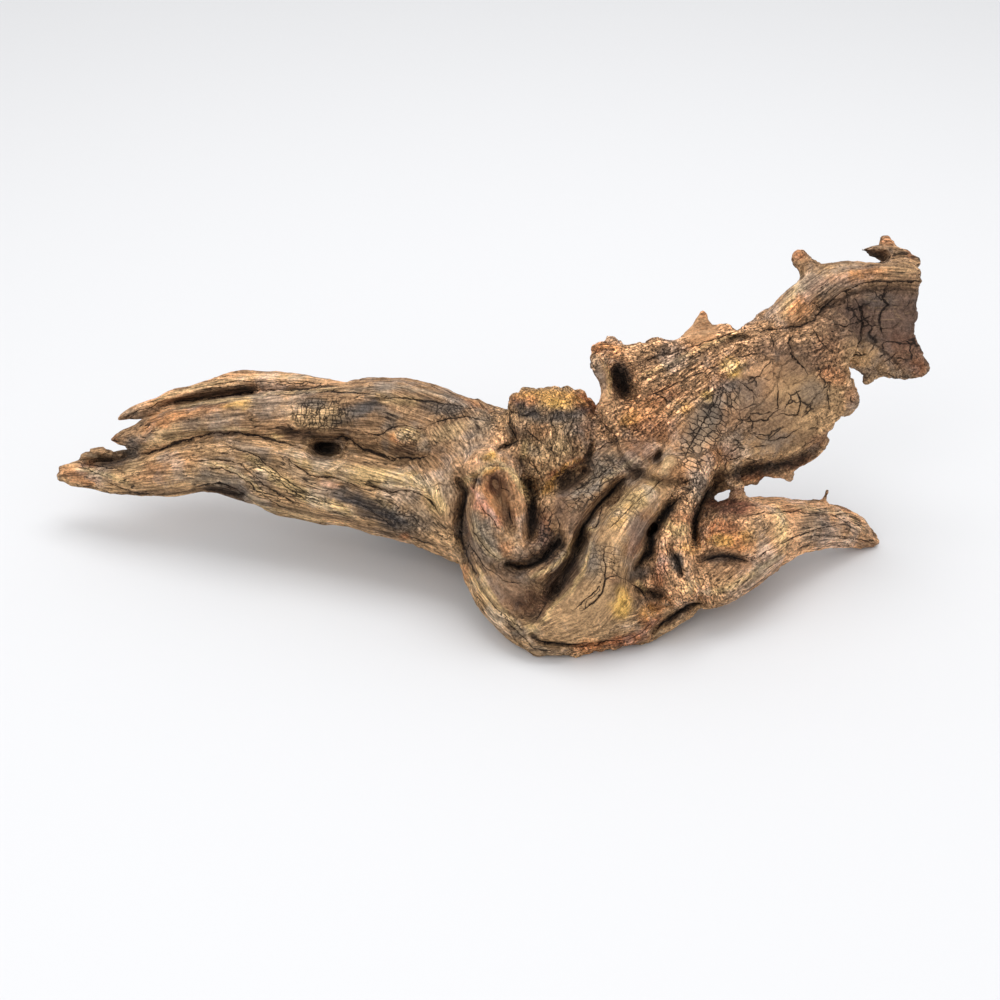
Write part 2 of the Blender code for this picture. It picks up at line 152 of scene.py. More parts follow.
# %% Add the twig
TWIG_FOOT, TWIG_TIP = real([(822, 506, -113), (828, 489, -113)])
TWIG_RADIUS = 0.0014
TWIG_TIP_RADIUS = 0.0008
twig_line = Vector(TWIG_TIP - TWIG_FOOT)
bpy.ops.object.select_all(action="DESELECT")
bpy.ops.mesh.primitive_cone_add(vertices=12, radius1=TWIG_RADIUS, radius2=TWIG_TIP_RADIUS,
                                depth=twig_line.length, location=(TWIG_FOOT + TWIG_TIP) / 2,
                                rotation=twig_line.to_track_quat("Z", "Y").to_euler())
log.select_set(True)
bpy.context.view_layer.objects.active = log
bpy.ops.object.join()
print("The twig is", round(twig_line.length * 1000, 1), "mm long")

# %% [markdown]
# ## Tools for carving
#
# Everything below moves the points of the skin, or marks them, by where they are. So the tools are
# few: read the points, measure how far they lie from a drawn line, and make random bumps that are
# the same on each run. Bumps come in two kinds. Soft noise swells and sinks like a hilly field, and
# cell noise makes the straight-sided blocks that drying bark cracks into.

# %% Tools for carving
def rows(field):
    """A three-number field of the log's points, one row each."""
    values = np.empty(len(log.data.vertices) * 3)
    log.data.vertices.foreach_get(field, values)
    return values.reshape(-1, 3)


def scattered(cells, seed):
    """A fixed random number from 0 to 1 for each whole-number place."""
    whole = cells.astype(np.int64)
    mixed = whole[:, 0] * 73856093 ^ whole[:, 1] * 19349663 ^ whole[:, 2] * 83492791 ^ seed * 2654435
    mixed = (mixed ^ (mixed >> 13)) * 1274126177
    return ((mixed ^ (mixed >> 16)) & 0xFFFF) / 65535.0


NOISE_TURN = np.array(Matrix.Rotation(0.9, 3, (0.3, 0.8, 0.5)))
OCTAVE_SCALE = 2.1
OCTAVE_HEIGHT = 0.55


def soft_noise(places, seed, octaves=1):
    """Random hills between about -1 and 1, with finer hills on them for each further octave."""
    total, height = 0.0, 1.0
    scaled = places
    for octave in range(octaves):
        scaled = scaled @ NOISE_TURN * (OCTAVE_SCALE if octave else 1.0)
        base = np.floor(scaled)
        part = scaled - base
        part = part * part * (3 - 2 * part)
        for offset in itertools.product((0, 1), repeat=3):
            share = np.prod(np.where(offset, part, 1 - part), axis=1)
            total = total + height * share * (2 * scattered(base + offset, seed + octave) - 1)
        height *= OCTAVE_HEIGHT
    return total


def cell_noise(places, seed):
    """For each place, how near it is to a crack between random blocks, and its block's number."""
    base = np.floor(places)
    first = np.full(len(places), 9.0)
    second = first.copy()
    block = np.zeros(len(places))
    for offset in itertools.product((-1, 0, 1), repeat=3):
        cell = base + offset
        point = cell + np.stack([scattered(cell, seed + k) for k in range(3)], axis=1)
        gap = np.linalg.norm(places - point, axis=1)
        second = np.minimum(second, np.maximum(gap, first))
        block = np.where(gap < first, scattered(cell, seed + 7), block)
        first = np.minimum(first, gap)
    return second - first, block


def eased(value):
    """0 to 1 with soft ends."""
    value = np.clip(value, 0, 1)
    return value * value * (3 - 2 * value)


def line_gap(flat, line):
    """How far each drawn place is from a drawn line, signed by side, and how far from the line's ends."""
    nearest = np.full(len(flat), 1e6)
    signed = nearest.copy()
    from_end = np.zeros(len(flat))
    lengths = [math.dist(start, end) for start, end in zip(line, line[1:])]
    travelled = 0.0
    for start, end, length in zip(line, line[1:], lengths):
        start, step = np.array(start, float), np.subtract(end, start).astype(float)
        part = np.clip((flat - start) @ step / (step @ step), 0, 1)
        offset = flat - start - part[:, None] * step
        gap = np.hypot(offset[:, 0], offset[:, 1])
        closer = gap < nearest
        nearest = np.where(closer, gap, nearest)
        side = np.where(step[0] * offset[:, 1] < step[1] * offset[:, 0], -1, 1)
        signed = np.where(closer, gap * side, signed)
        along = travelled + part * length
        from_end = np.where(closer, np.minimum(along, sum(lengths) - along), from_end)
        travelled += length
    return signed, from_end


def dab(flat, x, y, wide, high, turn=0.0):
    """1 in the middle of a drawn oval, falling softly to 0 at its rim."""
    c, s = math.cos(math.radians(turn)), math.sin(math.radians(turn))
    across, down = flat[:, 0] - x, flat[:, 1] - y
    return eased(1.5 - 1.5 * np.hypot((across * c + down * s) / wide, (down * c - across * s) / high))


probe = soft_noise(np.array([(0.2, 0.4, 0.6), (3.1, 2.2, 1.3)]), 1)
print("Noise at two places:", probe.round(3))

# %% [markdown]
# ## How the wood flows
#
# Grain runs along each limb and bends with it. Each flow is a line through the wood, with the
# nearest one deciding how the grain runs at a point. Along a flow, distance is stretched, and round
# it the place is kept, so any noise read in these straightened places comes out as long fibres that
# follow the limb, on its back as well as on its front.

# %% The flows of the grain
# Each flow: lines of x, y, depth, then how deep in mm its streaks, its crumbs and its blocks are.
FLOWS = {
    "lower limb": ([(58, 478, -168), (130, 478, -154), (200, 468, -140), (280, 478, -126),
        (350, 496, -110), (410, 515, -86), (460, 560, -40), (500, 612, -12), (545, 640, -2)], 1.2,
        0.35, 0.0),
    "upper limb": ([(108, 440, -152), (170, 426, -150), (240, 418, -142), (320, 414, -134),
        (400, 418, -116), (450, 440, -96), (476, 480, -60)], 1.1, 0.4, 0.1),
    "slab": ([(114, 421, -166), (160, 405, -175), (230, 394, -181), (330, 398, -158)], 1.1, 0.4, 0.0),
    "limb's back": ([(120, 450, -185), (240, 440, -190), (330, 440, -186), (500, 452, -190),
        (600, 440, -186), (700, 400, -140), (800, 350, -116)], 1.2, 0.5, 0.3),
    "keel": ([(545, 640, -2), (600, 636, 0), (660, 622, -14), (700, 598, -30)], 0.7, 0.8, 0.0),
    "bowl": ([(476, 500, -10), (484, 545, 0), (510, 585, 4), (545, 610, 4)], 0.7, 0.6, 0.0),
    "stub": ([(510, 560, -14), (503, 530, 6), (497, 490, 14), (488, 462, 4)], 0.5, 0.8, 0.0),
    "hump": ([(551, 480, -34), (551, 440, -30), (551, 395, -50)], 0.3, 1.9, 0.2),
    "lit ridge": ([(545, 565, 6), (568, 530, 4), (598, 492, -6), (640, 455, -40), (690, 425, -70)],
        0.7, 0.5, 0.0),
    "tan fold": ([(535, 630, 8), (575, 612, 16), (603, 580, 18), (612, 548, 16), (632, 515, 8),
        (658, 488, -8), (682, 462, -40)], 0.6, 0.45, 0.1),
    "knobby ridge": ([(708, 430, -50), (697, 470, -22), (688, 500, -4), (676, 530, 8), (676, 574, 8),
        (690, 600, -6)], 0.4, 1.5, 0.1),
    "root": ([(690, 590, -26), (730, 556, -36), (766, 532, -56), (800, 526, -84), (840, 524, -130),
        (878, 541, -170)], 0.9, 0.6, 0.1),
    "root's back": ([(640, 560, -110), (700, 530, -125), (770, 515, -130), (830, 515, -140)], 0.9, 0.7,
        0.1),
    "plate": ([(600, 392, -50), (650, 376, -36), (700, 350, -34), (750, 334, -38), (800, 324, -46)],
        0.7, 1.2, 0.2),
    "plate side": ([(616, 446, -48), (656, 418, -34), (694, 388, -28), (730, 362, -32)], 0.8, 1.2, 0.1),
    "low plate": ([(672, 476, -30), (694, 444, -26), (716, 410, -26), (740, 388, -28)], 0.4, 0.7, 0.2),
    "plate corner": ([(730, 452, -34), (770, 424, -34), (806, 396, -38), (850, 366, -50)], 0.45, 0.9,
        0.6),
    "arm": ([(770, 350, -60), (820, 318, -56), (862, 310, -52), (915, 310, -62)], 0.4, 0.9, 0.6),
    "arm rim": ([(770, 330, -40), (803, 300, -42), (836, 276, -44), (872, 270, -50), (910, 272, -58)],
        0.8, 0.7, 0.0),
    "belly's back": ([(440, 500, -150), (540, 520, -150), (620, 520, -140), (690, 500, -120)], 1.1,
        0.7, 0.2),
    "back foot": ([(500, 470, -150), (460, 505, -190), (442, 524, -214)], 0.9, 0.5, 0.0),
}
# Zones where the wood is worn otherwise: x, y, half width, half height, turn, then the three depths.
STYLE_ZONES = [
    (780, 392, 64, 50, -20, 0.2, 0.5, 0.75), (782, 436, 46, 20, -20, 0.3, 0.5, 0.5),
    (828, 356, 24, 34, 0, 0.2, 1.2, 0.4), (884, 325, 52, 50, 0, 0.2, 0.5, 0.9),
    (700, 440, 26, 56, 25, 0.3, 0.3, 0.0), (566, 502, 14, 32, 10, 0.3, 0.1, 0.0),
    (508, 592, 42, 26, 20, 0.4, 0.3, 0.0), (588, 604, 44, 24, -20, 0.35, 0.2, 0.0),
    (604, 556, 20, 32, 0, 0.4, 0.2, 0.0), (498, 496, 16, 26, -15, 0.4, 0.4, 0.0),
    (738, 534, 34, 24, 0, 0.3, 1.0, 0.0), (640, 524, 14, 40, 25, 0.5, 0.5, 0.0),
    (600, 650, 60, 10, -6, 0.4, 1.2, 0.0), (700, 330, 24, 22, 0, 0.4, 0.3, 0.0),
    (604, 384, 12, 30, 0, 0.7, 0.5, 0.0),
]


# A flow's share falls with distance from it, by this power, and is softened within this many metres.
STYLE_POWER = 6
FLOW_SOFTNESS = 0.002


def flow_frames(stops):
    """The flow's places and, at each, an along, an across and a through direction that never twist."""
    line = real(stops)
    along = np.gradient(line, axis=0)
    along /= np.linalg.norm(along, axis=1)[:, None]
    across = [np.cross(along[0], UP_SLOPE)]
    for direction in along[1:]:
        across.append(across[-1] - direction * (across[-1] @ direction))
    across = np.array(across)
    across /= np.linalg.norm(across, axis=1)[:, None]
    return line, across, np.cross(along, across)


def straightened(places):
    """Each place's straightened place in its nearest flow, in metres, and its streaks, crumbs and blocks."""
    nearest = np.full(len(places), 1e6)
    grain = np.zeros((len(places), 3))
    shares = np.zeros(len(places))
    style = np.zeros((len(places), 3))
    for number, (stops, *depths) in enumerate(FLOWS.values()):
        line, across, through = flow_frames(stops)
        travelled = 0.0
        own_gap = np.full(len(places), 1e6)
        own_grain = np.zeros((len(places), 3))
        for k in range(len(line) - 1):
            step = line[k + 1] - line[k]
            length = np.linalg.norm(step)
            free = (places - line[k]) @ step / length ** 2
            part = np.clip(free, 0, 1)
            ends = np.where((k == 0) & (free < 0) | (k == len(line) - 2) & (free > 1), free, part)
            offset = places - line[k] - part[:, None] * step
            gap = np.linalg.norm(offset, axis=1)
            blend = part[:, None]
            side = (offset * (across[k] * (1 - blend) + across[k + 1] * blend)).sum(axis=1)
            depth = (offset * (through[k] * (1 - blend) + through[k + 1] * blend)).sum(axis=1)
            closer = gap < own_gap
            own_gap = np.where(closer, gap, own_gap)
            found = np.stack((travelled + ends * length, side, depth), axis=1)
            own_grain = np.where(closer[:, None], found, own_grain)
            travelled += length
        closer = own_gap < nearest
        nearest = np.where(closer, own_gap, nearest)
        grain = np.where(closer[:, None], own_grain + number, grain)
        share = 1.0 / (own_gap + FLOW_SOFTNESS) ** STYLE_POWER
        shares += share
        style += share[:, None] * np.array(depths)
    style /= shares[:, None]
    flat = drawn(places)[:, :2]
    for x, y, wide, high, turn, *depths in STYLE_ZONES:
        share = dab(flat, x, y, wide, high, turn)[:, None]
        style = style * (1 - share) + share * np.array(depths)
    return grain, style


lengths = [np.linalg.norm(np.diff(real(flow[0]), axis=0), axis=1).sum() for flow in FLOWS.values()]
print(len(FLOWS), "flows, together", round(sum(lengths), 2), "m long")

# %% [markdown]
# ## Folds, hollows and knots
#
# The big forms come first, as a carver works: round the folds, sink the hollows, raise the knots,
# and only then cut the fine splits. Each stroke is a drawn line or oval. It moves only the wood that
# faces the viewer, straight back or forward along the line of sight, so the outline stays as it is.
# Afterwards the skin is remeshed, because a net that was pulled into a hole has long thin squares.

# %% Wide strokes
# Half width and depth in drawn units, then the line. A depth below 0 raises the wood.
WIDE_STROKES = {
    "slab crevice": (6, 7, [(160, 407), (172, 402), (190, 400), (210, 397), (232, 394), (252, 391)]),
    "notch": (7, 6, [(88, 463), (104, 462), (120, 460), (130, 452)]),
    "limb recess": (6, 9, [(196, 490), (210, 489), (224, 489), (240, 494)]),
    "hole groove": (6, 5, [(280, 431), (296, 434), (312, 437), (332, 437), (345, 437)]),
    "under the hole": (5, 3, [(306, 456), (326, 460), (345, 456)]),
    "low split bed": (6, 3, [(292, 466), (322, 479), (360, 487), (400, 494), (430, 506), (440, 520)]),
    "straw ridge": (7, -4, [(236, 452), (262, 466), (288, 484), (318, 500), (350, 513)]),
    "grey ridge": (5, -3, [(200, 472), (224, 474), (244, 484), (262, 500)]),
    "pale ridge": (9, -4, [(345, 470), (380, 474), (412, 480), (434, 494), (444, 512)]),
    "char ridge": (8, -3, [(336, 498), (366, 508), (396, 522), (420, 538)]),
    "limb crest": (8, -3, [(180, 414), (230, 404), (290, 398), (340, 394), (390, 392)]),
    "knot rim": (5, -4, [(384, 440), (388, 431), (400, 427), (416, 429), (425, 436), (424, 446)]),
    "waist fold": (6, 6, [(460, 480), (467, 494), (461, 512), (459, 530), (464, 556), (474, 572)]),
    "collar ridge": (6, -4, [(474, 510), (480, 530), (492, 548), (508, 560)]),
    "collar ridge two": (5, -3, [(470, 540), (482, 562), (500, 580), (520, 592)]),
    "stub left rim": (4.5, -8, [(467, 478), (474, 490), (484, 502), (494, 516), (502, 530)]),
    "stub top rim": (4.5, -7, [(472, 474), (484, 469), (497, 462), (508, 470), (517, 480), (525, 492),
        (530, 504)]),
    "stub scoop": (10, 7, [(494, 482), (500, 496), (508, 512), (512, 530)]),
    "stub shelf": (5, -5, [(480, 455), (490, 452), (500, 452), (512, 458), (520, 468)]),
    "side column": (6, 12, [(534, 498), (533, 512), (532, 526), (530, 540)]),
    "hatch bulge": (7, -4, [(546, 506), (547, 524), (544, 540), (534, 552), (518, 556)]),
    "hump shelf": (4, 6, [(512, 424), (517, 439), (508, 445), (497, 451)]),
    "hump crown": (6, -4, [(516, 401), (530, 397), (552, 396), (572, 401), (588, 411)]),
    "crumbly rim": (5, -6, [(546, 488), (553, 477), (564, 467), (582, 460)]),
    "smooth hollow": (12, 9, [(562, 488), (572, 478), (584, 474)]),
    "inner shadow": (6, 7, [(586, 470), (589, 458), (592, 446)]),
    "fold line": (3.5, 4, [(556, 512), (572, 500), (586, 488), (600, 476), (614, 467)]),
    "hatch band": (6, -3, [(566, 512), (584, 498), (604, 483), (620, 470)]),
    "long crevice": (5, 9, [(624, 480), (608, 495), (596, 508), (588, 520), (580, 534), (574, 548)]),
    "nodule": (5, -4, [(588, 526), (594, 518), (599, 511)]),
    "crescent": (6, 10, [(507, 563), (518, 567), (533, 564), (544, 558), (553, 549), (560, 538)]),
    "crescent ridge": (5, -5, [(572, 540), (569, 554), (558, 563), (546, 572), (528, 580)]),
    "deep fold": (8, 10, [(583, 540), (577, 552), (567, 569), (557, 586), (551, 598)]),
    "tan edge": (6, -4, [(592, 540), (589, 556), (586, 570), (578, 584), (566, 596), (552, 606),
        (540, 624)]),
    "tan middle": (12, -4, [(640, 500), (622, 528), (612, 556), (606, 584), (592, 606)]),
    "side crevice": (6, 9, [(678, 500), (669, 508), (658, 524), (652, 537), (650, 552), (636, 568)]),
    "side hollow": (7, 5, [(632, 580), (644, 576), (656, 572)]),
    "side notch": (6, 9, [(636, 590), (650, 592), (660, 596)]),
    "knobby edge": (6, -5, [(662, 536), (656, 554), (658, 572), (666, 588)]),
    "blue pit": (6, 7, [(670, 548), (676, 560), (681, 574)]),
    "bowl rim": (6, -4, [(470, 560), (480, 586), (496, 608), (516, 626), (530, 640), (556, 652)]),
    "bowl": (12, 6, [(520, 604), (530, 614), (534, 600)]),
    "under tan": (3.5, 6, [(530, 634), (542, 642), (560, 646), (584, 645), (606, 641)]),
    "low groove": (4, 6, [(652, 634), (664, 622), (678, 612), (692, 604), (704, 604)]),
    "low rim": (5, -3, [(620, 646), (650, 640), (674, 628), (694, 614)]),
    "root wedge": (5, 5, [(702, 560), (716, 556), (734, 556), (750, 562)]),
    "root gap": (5, 9, [(698, 512), (694, 526), (696, 540)]),
    "leg gap": (4, 8, [(716, 486), (708, 496), (700, 508)]),
    "root eye": (16, -5, [(722, 532), (742, 534), (760, 530)]),
    "root straw band": (7, -4, [(772, 506), (780, 520), (784, 540), (776, 554)]),
    "root crest": (5, -3, [(740, 500), (770, 502), (800, 507), (840, 511)]),
    "root lower rim": (6, -3, [(706, 592), (736, 586), (760, 570), (784, 556)]),
    "pocket": (9, 10, [(616, 368), (622, 380), (628, 392)]),
    "plate wall": (6, -5, [(592, 352), (597, 366), (604, 380), (606, 398)]),
    "plate foot": (4, 5, [(606, 430), (616, 446), (634, 474), (664, 484), (686, 484)]),
    "plate foot lip": (5, -5, [(600, 416), (612, 430), (622, 446), (628, 460), (644, 470), (664, 472)]),
    "tongue": (6, -5, [(672, 440), (668, 456), (664, 472)]),
    "block strip": (13, -4, [(724, 400), (708, 424), (696, 448), (690, 474), (686, 496)]),
    "plate fold": (6, 4, [(640, 408), (664, 404), (690, 396), (716, 388)]),
    "plate fold two": (5, 3, [(650, 392), (676, 380), (706, 366), (740, 352)]),
    "plate cavity": (4, 7, [(730, 338), (738, 336), (747, 337)]),
    "under layer": (9, 9, [(716, 478), (742, 470), (770, 464), (800, 460), (818, 448)]),
    "plate lip": (5, -4, [(728, 470), (760, 458), (792, 456), (820, 440), (842, 418), (854, 400)]),
    "arm seam": (4, 4, [(772, 334), (800, 329), (818, 320), (832, 304), (850, 292), (872, 285),
        (914, 286)]),
    "arm rim": (8, -4, [(786, 312), (808, 296), (832, 278), (858, 272), (890, 270), (912, 272)]),
    "prong hollow": (4.5, 13, [(862, 255), (874, 256), (886, 258)]),
    "arm fold": (5, 4, [(862, 300), (862, 320), (858, 344), (852, 362)]),
}
# Strokes that sink deeper than this also get a sharp crease along the bottom, so deep, and so wide
# as a share of the stroke.
CREASED_FROM = 5
CREASE_DEPTH = 6
CREASE_SHARE = 0.6
# How many half widths a creased groove and any other stroke reach to each side.
GROOVE_REACH = 1.6
SOFT_REACH = 2.0
# Ovals: x, y, half width, half height, turn in degrees, depth.
OVALS = {
    "hole": (325, 449, 19, 11, 5, 26), "knot": (405, 438, 22, 13, 4, -7),
    "knot underside": (406, 453, 20, 6, 4, 5), "stub eye": (498, 486, 12, 13, 20, 3),
    "black pocket": (527, 486, 11, 13, 0, 13), "yellow knob": (487, 456, 8, 5, -10, -5),
    "upper pocket": (523, 463, 8, 7, 0, 6), "left hump": (526, 428, 14, 22, 0, -3),
    "right hump": (574, 430, 16, 22, 0, -3), "crescent mouth": (560, 544, 8, 9, 30, 11),
    "deep mouth": (560, 590, 14, 10, -30, 6), "yellow blotch": (622, 604, 16, 14, 0, -3),
    "chip": (662, 602, 10, 6, -20, -5), "tongue hole": (658, 460, 6, 11, 10, 10),
    "plate dimple": (690, 354, 16, 8, -30, 3), "plate rise": (730, 366, 18, 12, -20, -4),
    "flake": (750, 388, 18, 14, 10, -3), "grey bulge": (812, 394, 22, 18, -20, -3),
    "arm bulge": (890, 330, 22, 26, 0, -3), "root bulge": (812, 526, 22, 18, 0, -3),
    "knob one": (676, 524, 11, 9, 20, -6), "knob two": (690, 540, 10, 10, 0, -4),
    "knob three": (662, 566, 10, 14, 0, -5), "knob four": (684, 592, 12, 8, -20, -4),
    "root pit": (713, 598, 4, 4, 0, 4), "root pit two": (743, 590, 4, 4, 0, 4),
}


def near_box(flat, line, reach):
    """Which drawn places lie near enough to the line to be worth measuring."""
    xs, ys = zip(*line)
    return np.flatnonzero((flat[:, 0] > min(xs) - reach) & (flat[:, 0] < max(xs) + reach)
                          & (flat[:, 1] > min(ys) - reach) & (flat[:, 1] < max(ys) + reach))


def wobbled(flat, size, amount, seed):
    """The drawn places, shifted by soft noise so that a stroke drawn on them wanders a little."""
    deep = np.column_stack((flat / size, np.zeros(len(flat))))
    shift = np.stack([soft_noise(deep, seed + k, 2) for k in range(2)], axis=1)
    return flat + amount * shift


def fronting():
    """1 for wood that faces the viewer, falling to 0 for wood seen from the side."""
    return np.clip(3 * (rows("normal") @ TO_VIEWER), 0, 1)


def pushed(depths):
    """Moves the wood that faces the viewer back by so many drawn units."""
    places = rows("co") - TO_VIEWER * (depths * fronting() * UNIT)[:, None]
    log.data.vertices.foreach_set("co", places.ravel())
    log.data.update()


flat = wobbled(drawn(rows("co"))[:, :2], 14.0, 1.2, 11)
depths = np.zeros(len(flat))
for half_width, depth, line in WIDE_STROKES.values():
    reach = GROOVE_REACH if depth > CREASED_FROM else SOFT_REACH
    near = near_box(flat, line, reach * half_width)
    gap = line_gap(flat[near], line)[0]
    depths[near] += depth * eased(1 - np.abs(gap) / (reach * half_width))
    if depth > CREASED_FROM:
        depths[near] += CREASE_DEPTH * np.clip(1 - np.abs(gap) / (CREASE_SHARE * half_width), 0, 1)
for x, y, wide, high, turn, depth in OVALS.values():
    depths += depth * dab(flat, x, y, wide, high, turn)
pushed(depths)
apply_modifier("REMESH", mode="VOXEL", voxel_size=SKIN)
apply_modifier("SMOOTH", iterations=2)
deepest = round(depths.max() * UNIT * 1000, 1)
print(len(WIDE_STROKES), "strokes and", len(OVALS), "ovals moved the wood by up to", deepest, "mm")

# %% [markdown]
# ## Splits, fibres, crumbs and blocks
#
# Old wood opens along its grain in thin black splits. Between them the soft wood has worn away and
# left fine fibres, and where bark remains it has shrunk into blocks. The fibres and the blocks are
# noise in straightened places, so they follow each limb. The splits are drawn one by one, because
# these are what the eye knows the log by.

